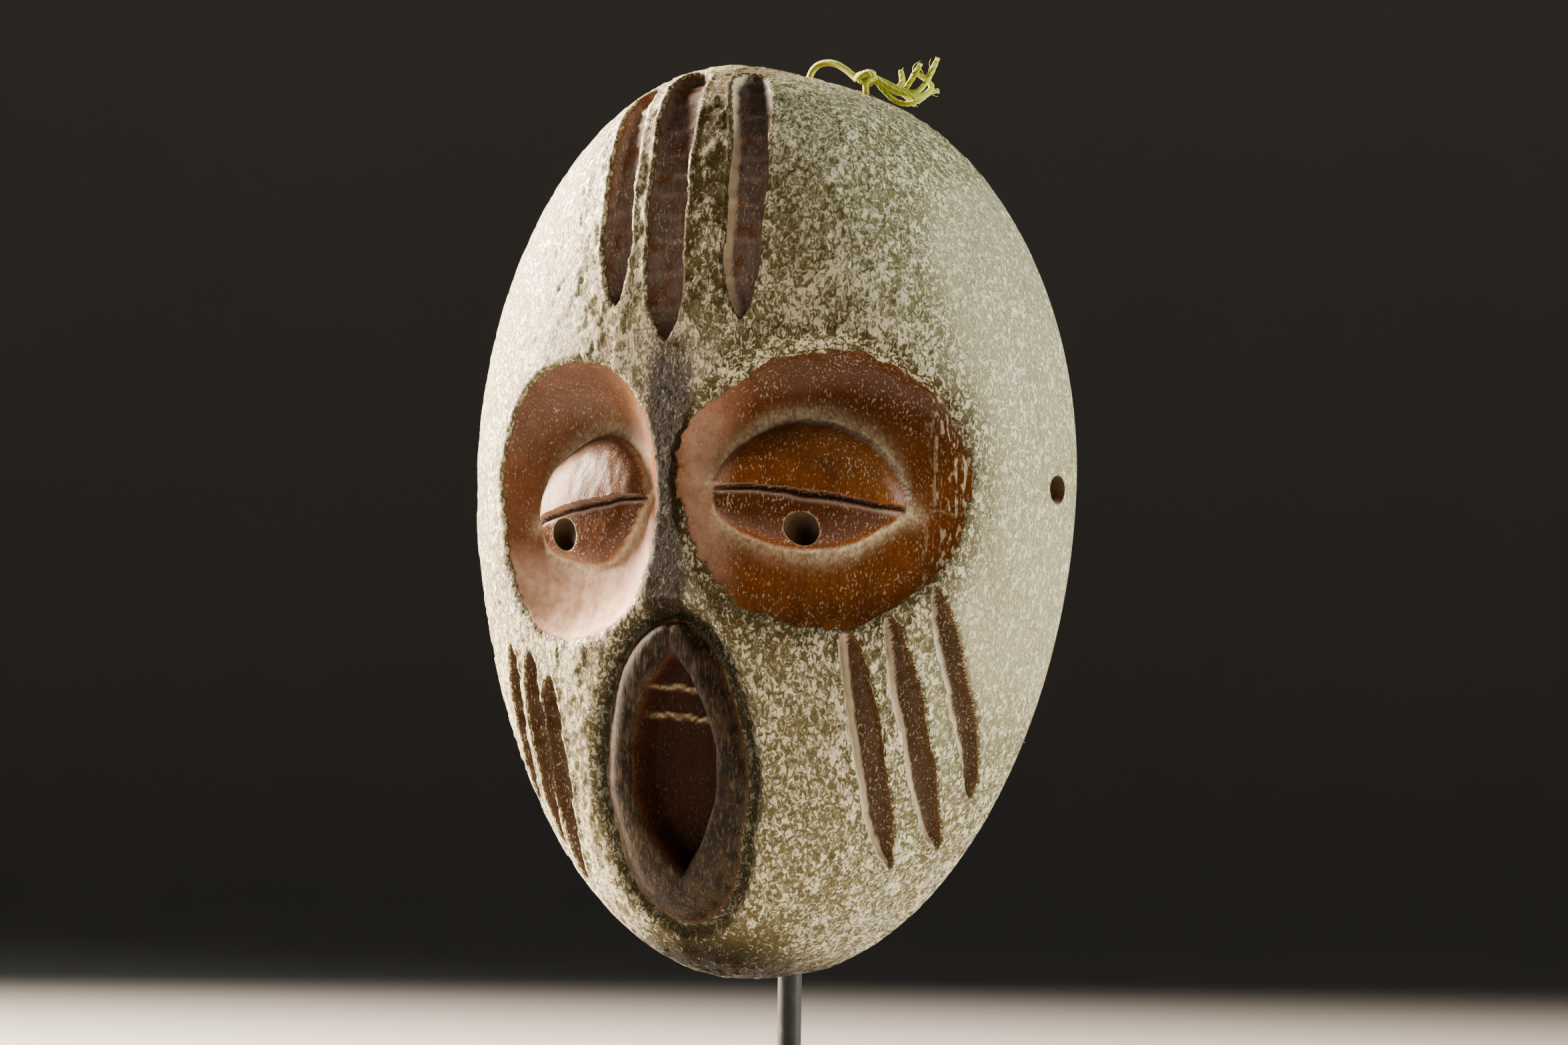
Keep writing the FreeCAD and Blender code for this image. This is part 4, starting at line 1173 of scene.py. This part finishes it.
def knot_parts():
    """Three tight turns of the same cord wrapped over each other."""
    parts = []
    centre = np.array([32.0, 9.0, 133.1])
    turn = np.linspace(0, 2 * math.pi, 40)
    for wrap, (tilt, reach) in enumerate(((0.2, 2.6), (1.1, 2.3), (-0.8, 2.2))):
        x = reach * 1.15 * np.cos(turn)
        y = reach * np.sin(turn) * math.cos(tilt)
        z = reach * 0.75 * np.sin(turn) * math.sin(tilt) + 0.5 * np.sin(2 * turn + wrap)
        ring = to_row(centre + np.column_stack([x, y, z]))
        parts += twisted(ring, 0.62 * MM, 0.52 * MM, 4, 5.5 * MM, wrap)
    return parts


# Loose ends of the cord past the knot, as places out along the tuft, up, and towards the viewer
TUFT_ALONG = np.array([0.888, -0.461, 0.0])
TUFT_NEARER = np.array([0.461, 0.888, 0.0])
TUFT_ENDS = [
    ((-1.0, 0.2, 0.6), (2.0, -1.6, 0.8), (5.4, -3.6, 0.6), (8.2, -1.2, 0.4), (7.8, 3.0, 0.2)),
    ((-1.0, -0.2, -0.4), (3.0, -2.6, -0.4), (7.4, -4.8, -0.2), (10.6, -1.4, -0.6), (14.6, 5.4, -1.6)),
    ((-0.6, 0.4, 0.0), (3.4, -1.4, 0.2), (8.0, -4.0, 1.4), (13.0, -4.6, 1.8), (16.6, -0.6, 0.6),
     (20.2, 7.2, 0.0)),
    ((-0.6, 0.0, 1.0), (4.0, -3.2, 1.8), (9.8, -5.6, 2.4), (15.4, -5.6, 1.0), (18.2, -2.4, -1.0),
     (15.8, 0.6, -2.0), (12.4, 2.8, -2.2)),
    ((-0.6, -0.6, -1.0), (2.6, -4.0, -1.6), (6.0, -7.0, -1.8), (10.0, -8.2, -1.2), (14.0, -7.0, -0.8),
     (17.6, -4.2, -1.6), (20.6, -3.4, -2.4)),
    ((-0.8, 0.4, -0.8), (2.2, -0.6, -2.2), (6.2, -2.6, -3.2), (9.6, -5.0, -3.4), (12.8, -8.2, -3.6)),
]


def tuft_parts():
    """Each loose end is a soft yarn of twisted plies, blunt at its tip, with stray fibres."""
    root = np.array(TUFT_ROOT)
    parts = []
    for number, places in enumerate(TUFT_ENDS):
        steps = [root + out * TUFT_ALONG + near * TUFT_NEARER + np.array([0.0, 0.0, up])
                 for out, up, near in places]
        line = threaded(steps)
        parts += twisted(line, 0.42 * MM, 0.46 * MM, 4, (8.0 + 2.0 * rng.random()) * MM, number, 0.5)
        for stray in range(3):
            loose = threaded(steps[:-1] + [steps[-1] + rng.normal(0.0, 1.1, 3)])
            parts += twisted(loose, 0.60 * MM, 0.13 * MM, 1, 9.0 * MM, number + stray * 2.1, 0.8)
    return parts


def make_twine():
    """The hanging cord with its wound plies, its knot and its loose ends."""
    material = twine_material()
    core, line = twine_curve(material)
    wound = twisted(evenly(line, 330), 0.55 * MM, 0.50 * MM, 3, 7.0 * MM)
    plies = joined("twine_plies", wound, material)
    knot = joined("twine_knot_wraps", knot_parts(), material)
    tuft = joined("twine_tuft_fibres", tuft_parts(), material)
    plies.parent = core
    for piece, node in ((core, "hanging_twine"), (knot, "twine_knot"), (tuft, "twine_tuft")):
        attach(piece, "mask")
        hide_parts(node)
    start = [float(value) for value in to_row(TWINE_ROUTE)[0]]


# ---------------- the stand's finishes

def black_paint():
    """Satin black over steel, with handling scratches, rubbed places and settled dust."""
    s = Shader("black_steel")
    cloud = s.noise(30.0, 4.0)
    colour = s.mix(cloud, (0.01, 0.01, 0.011), (0.026, 0.025, 0.024))
    s.surface.inputs["Specular IOR Level"].default_value = 0.30
    scratch = s.cracks(26.0, 0.10, 22.0)
    colour = s.mix(s.times(scratch, 0.35), colour, (0.11, 0.105, 0.1))
    dust = s.ramp(s.noise(2.4, 4.0), 0.56, 0.76, 0.0, 0.30)
    colour = s.mix(dust, colour, (0.12, 0.11, 0.095))
    fine = s.noise(0.7, 2.0)
    rough = s.plus(s.ramp(cloud, 0.3, 0.7, 0.44, 0.58), s.times(dust, 0.6))
    return s.finish(colour, rough, fine, 0.06)


def rubber():
    """Dull black rubber with a grey bloom."""
    s = Shader("black_rubber")
    bloom = s.ramp(s.noise(5.0, 4.0), 0.42, 0.72, 0.0, 0.5)
    colour = s.mix(bloom, (0.014, 0.014, 0.014), (0.06, 0.058, 0.055))
    return s.finish(colour, s.ramp(bloom, 0.0, 0.5, 0.62, 0.85), s.noise(0.5, 3.0), 0.08)


def screw_steel():
    """Turned steel with patches of brown stain."""
    s = Shader("screw_steel")
    turning = s.noise(0.5, 3.0, 6.0)
    colour = s.mix(turning, (0.3, 0.3, 0.3), (0.52, 0.51, 0.5))
    stain = s.ramp(s.noise(2.0, 3.0), 0.55, 0.75, 0.0, 0.7)
    colour = s.mix(stain, colour, (0.14, 0.105, 0.075))
    s.surface.inputs["Metallic"].default_value = 0.95
    return s.finish(colour, s.ramp(turning, 0.2, 0.8, 0.28, 0.48), turning, 0.03)


def felt():
    """Dark grey felt with a faint sheen."""
    s = Shader("dark_felt")
    fibre = s.noise(0.35, 4.0, twist=2.0)
    colour = s.mix(fibre, (0.022, 0.022, 0.026), (0.08, 0.08, 0.088))
    s.surface.inputs["Sheen Weight"].default_value = 0.5
    return s.finish(colour, s.ramp(fibre, 0.2, 0.8, 0.86, 0.98), fibre, 0.3)


def finish_stand():
    """Gives each of the stand's own parts its finish."""
    finishes = {
        black_paint(): ("support_rod", "hanger_bar", "rod_socket", "stand_base"),
        rubber(): ("hanger_sleeve_left", "hanger_sleeve_right", "chin_sleeve"),
        screw_steel(): ("socket_set_screw", "base_screw"),
        felt(): ("base_felt",),
    }
    for material, nodes in finishes.items():
        for node in nodes:
            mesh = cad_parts[node].data
            mesh.materials.clear()
            mesh.materials.append(material)


# ---------------- room, light and camera

LENS = 82.02
SENSOR = 36.0
YAW = math.radians(27.43)
PITCH = math.radians(-3.82)
ROLL = math.radians(0.67)
DISTANCE = 1.2042
# How far the middle of the mask's rim stands right of the picture's middle, and above it
MASK_RIGHT = 0.00146
MASK_ABOVE = 0.01434


def toward(azimuth, elevation):
    """A direction from the object, measured in radians from straight in front and from level."""
    flat = math.cos(elevation)
    return Vector((math.sin(azimuth) * flat, -math.cos(azimuth) * flat, math.sin(elevation)))


def camera_frame():
    """Where the camera stands and how it is turned."""
    back = toward(YAW, PITCH)
    aim = Vector((0.0, RIM_Y, WIDEST_Z))
    turn = back.to_track_quat("Z", "Y").to_matrix() @ Matrix.Rotation(ROLL, 3, "Z")
    place = aim + back * DISTANCE - turn.col[0] * MASK_RIGHT - turn.col[1] * MASK_ABOVE
    return place, turn


def make_camera():
    """The scene's camera, a long lens set a little below the mask and to its right."""
    data = bpy.data.cameras.new("camera")
    data.lens = LENS
    data.sensor_width = SENSOR
    data.clip_start = 0.05
    camera = bpy.data.objects.new("camera", data)
    bpy.context.scene.collection.objects.link(camera)
    place, turn = camera_frame()
    camera.matrix_world = Matrix.Translation(place) @ turn.to_4x4()
    bpy.context.scene.camera = camera


def area_light(name, azimuth, elevation, distance, size, power, colour, spread=180.0):
    """A soft square lamp aimed at the mask. Its place and its beam's spread are in degrees."""
    data = bpy.data.lights.new(name, "AREA")
    data.shape = "RECTANGLE"
    data.size, data.size_y = size
    data.energy = power
    data.color = colour
    data.spread = math.radians(spread)
    lamp = bpy.data.objects.new(name, data)
    lamp.visible_camera = False
    bpy.context.scene.collection.objects.link(lamp)
    away = toward(math.radians(azimuth), math.radians(elevation))
    place = Vector((0.0, 0.0, WIDEST_Z)) + away * distance
    turn = away.to_track_quat("Z", "Y").to_matrix().to_4x4()
    lamp.matrix_world = Matrix.Translation(place) @ turn


def make_backdrop():
    """A round pale studio: a flat floor that curves up into a wall on every side."""
    flat, bend, top, around, steps = 2.2, 2.8, 4.6, 96, 24
    profile = [(0.02, 0.0), (flat, 0.0)]
    for step in range(1, steps + 1):
        turn = math.pi / 2 * step / steps
        profile.append((flat + bend * math.sin(turn), bend - bend * math.cos(turn)))
    profile.append((flat + bend, top))
    angles = np.linspace(0, 2 * math.pi, around, endpoint=False)
    points = [(r * math.cos(angle), r * math.sin(angle), z) for r, z in profile for angle in angles]
    faces = [list(range(around))]
    for ring in range(len(profile) - 1):
        for side in range(around):
            low, after = ring * around, (side + 1) % around
            faces.append([low + side, low + around + side, low + around + after, low + after])
    s = Shader("backdrop_paper")
    tone = s.noise(400.0, 3.0)
    colour = s.mix(tone, (0.44, 0.434, 0.422), (0.465, 0.46, 0.45))
    paper = s.finish(colour, s.ramp(tone, 0.3, 0.7, 0.88, 0.95))
    make_object("backdrop", np.array(points), faces, paper)


NARROW_BEAM = 70.0


def make_lights():
    """A warm key from the left, a weak rim from behind on the right, and a faint front fill."""
    area_light("key_left", -94.0, 24.0, 1.5, (0.6, 1.0), 86.0, (1.0, 0.81, 0.64), NARROW_BEAM)
    area_light("rim_right", 112.0, 16.0, 1.4, (0.45, 1.0), 7.0, (0.96, 1.0, 0.92), NARROW_BEAM)
    area_light("front_soft", 46.0, 46.0, 2.0, (1.2, 1.2), 1.6, (1.0, 0.98, 0.88))
    world = bpy.data.worlds.new("studio")
    world.use_nodes = True
    background = world.node_tree.nodes["Background"]
    background.inputs["Color"].default_value = (0.86, 0.88, 0.90, 1.0)
    background.inputs["Strength"].default_value = 0.03
    bpy.context.scene.world = world


# ---------------- the whole scene

face = make_mask(mask_material())
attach(face, "mask")
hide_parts("mask_shell")
make_twine()
finish_stand()
make_backdrop()
make_lights()
make_camera()
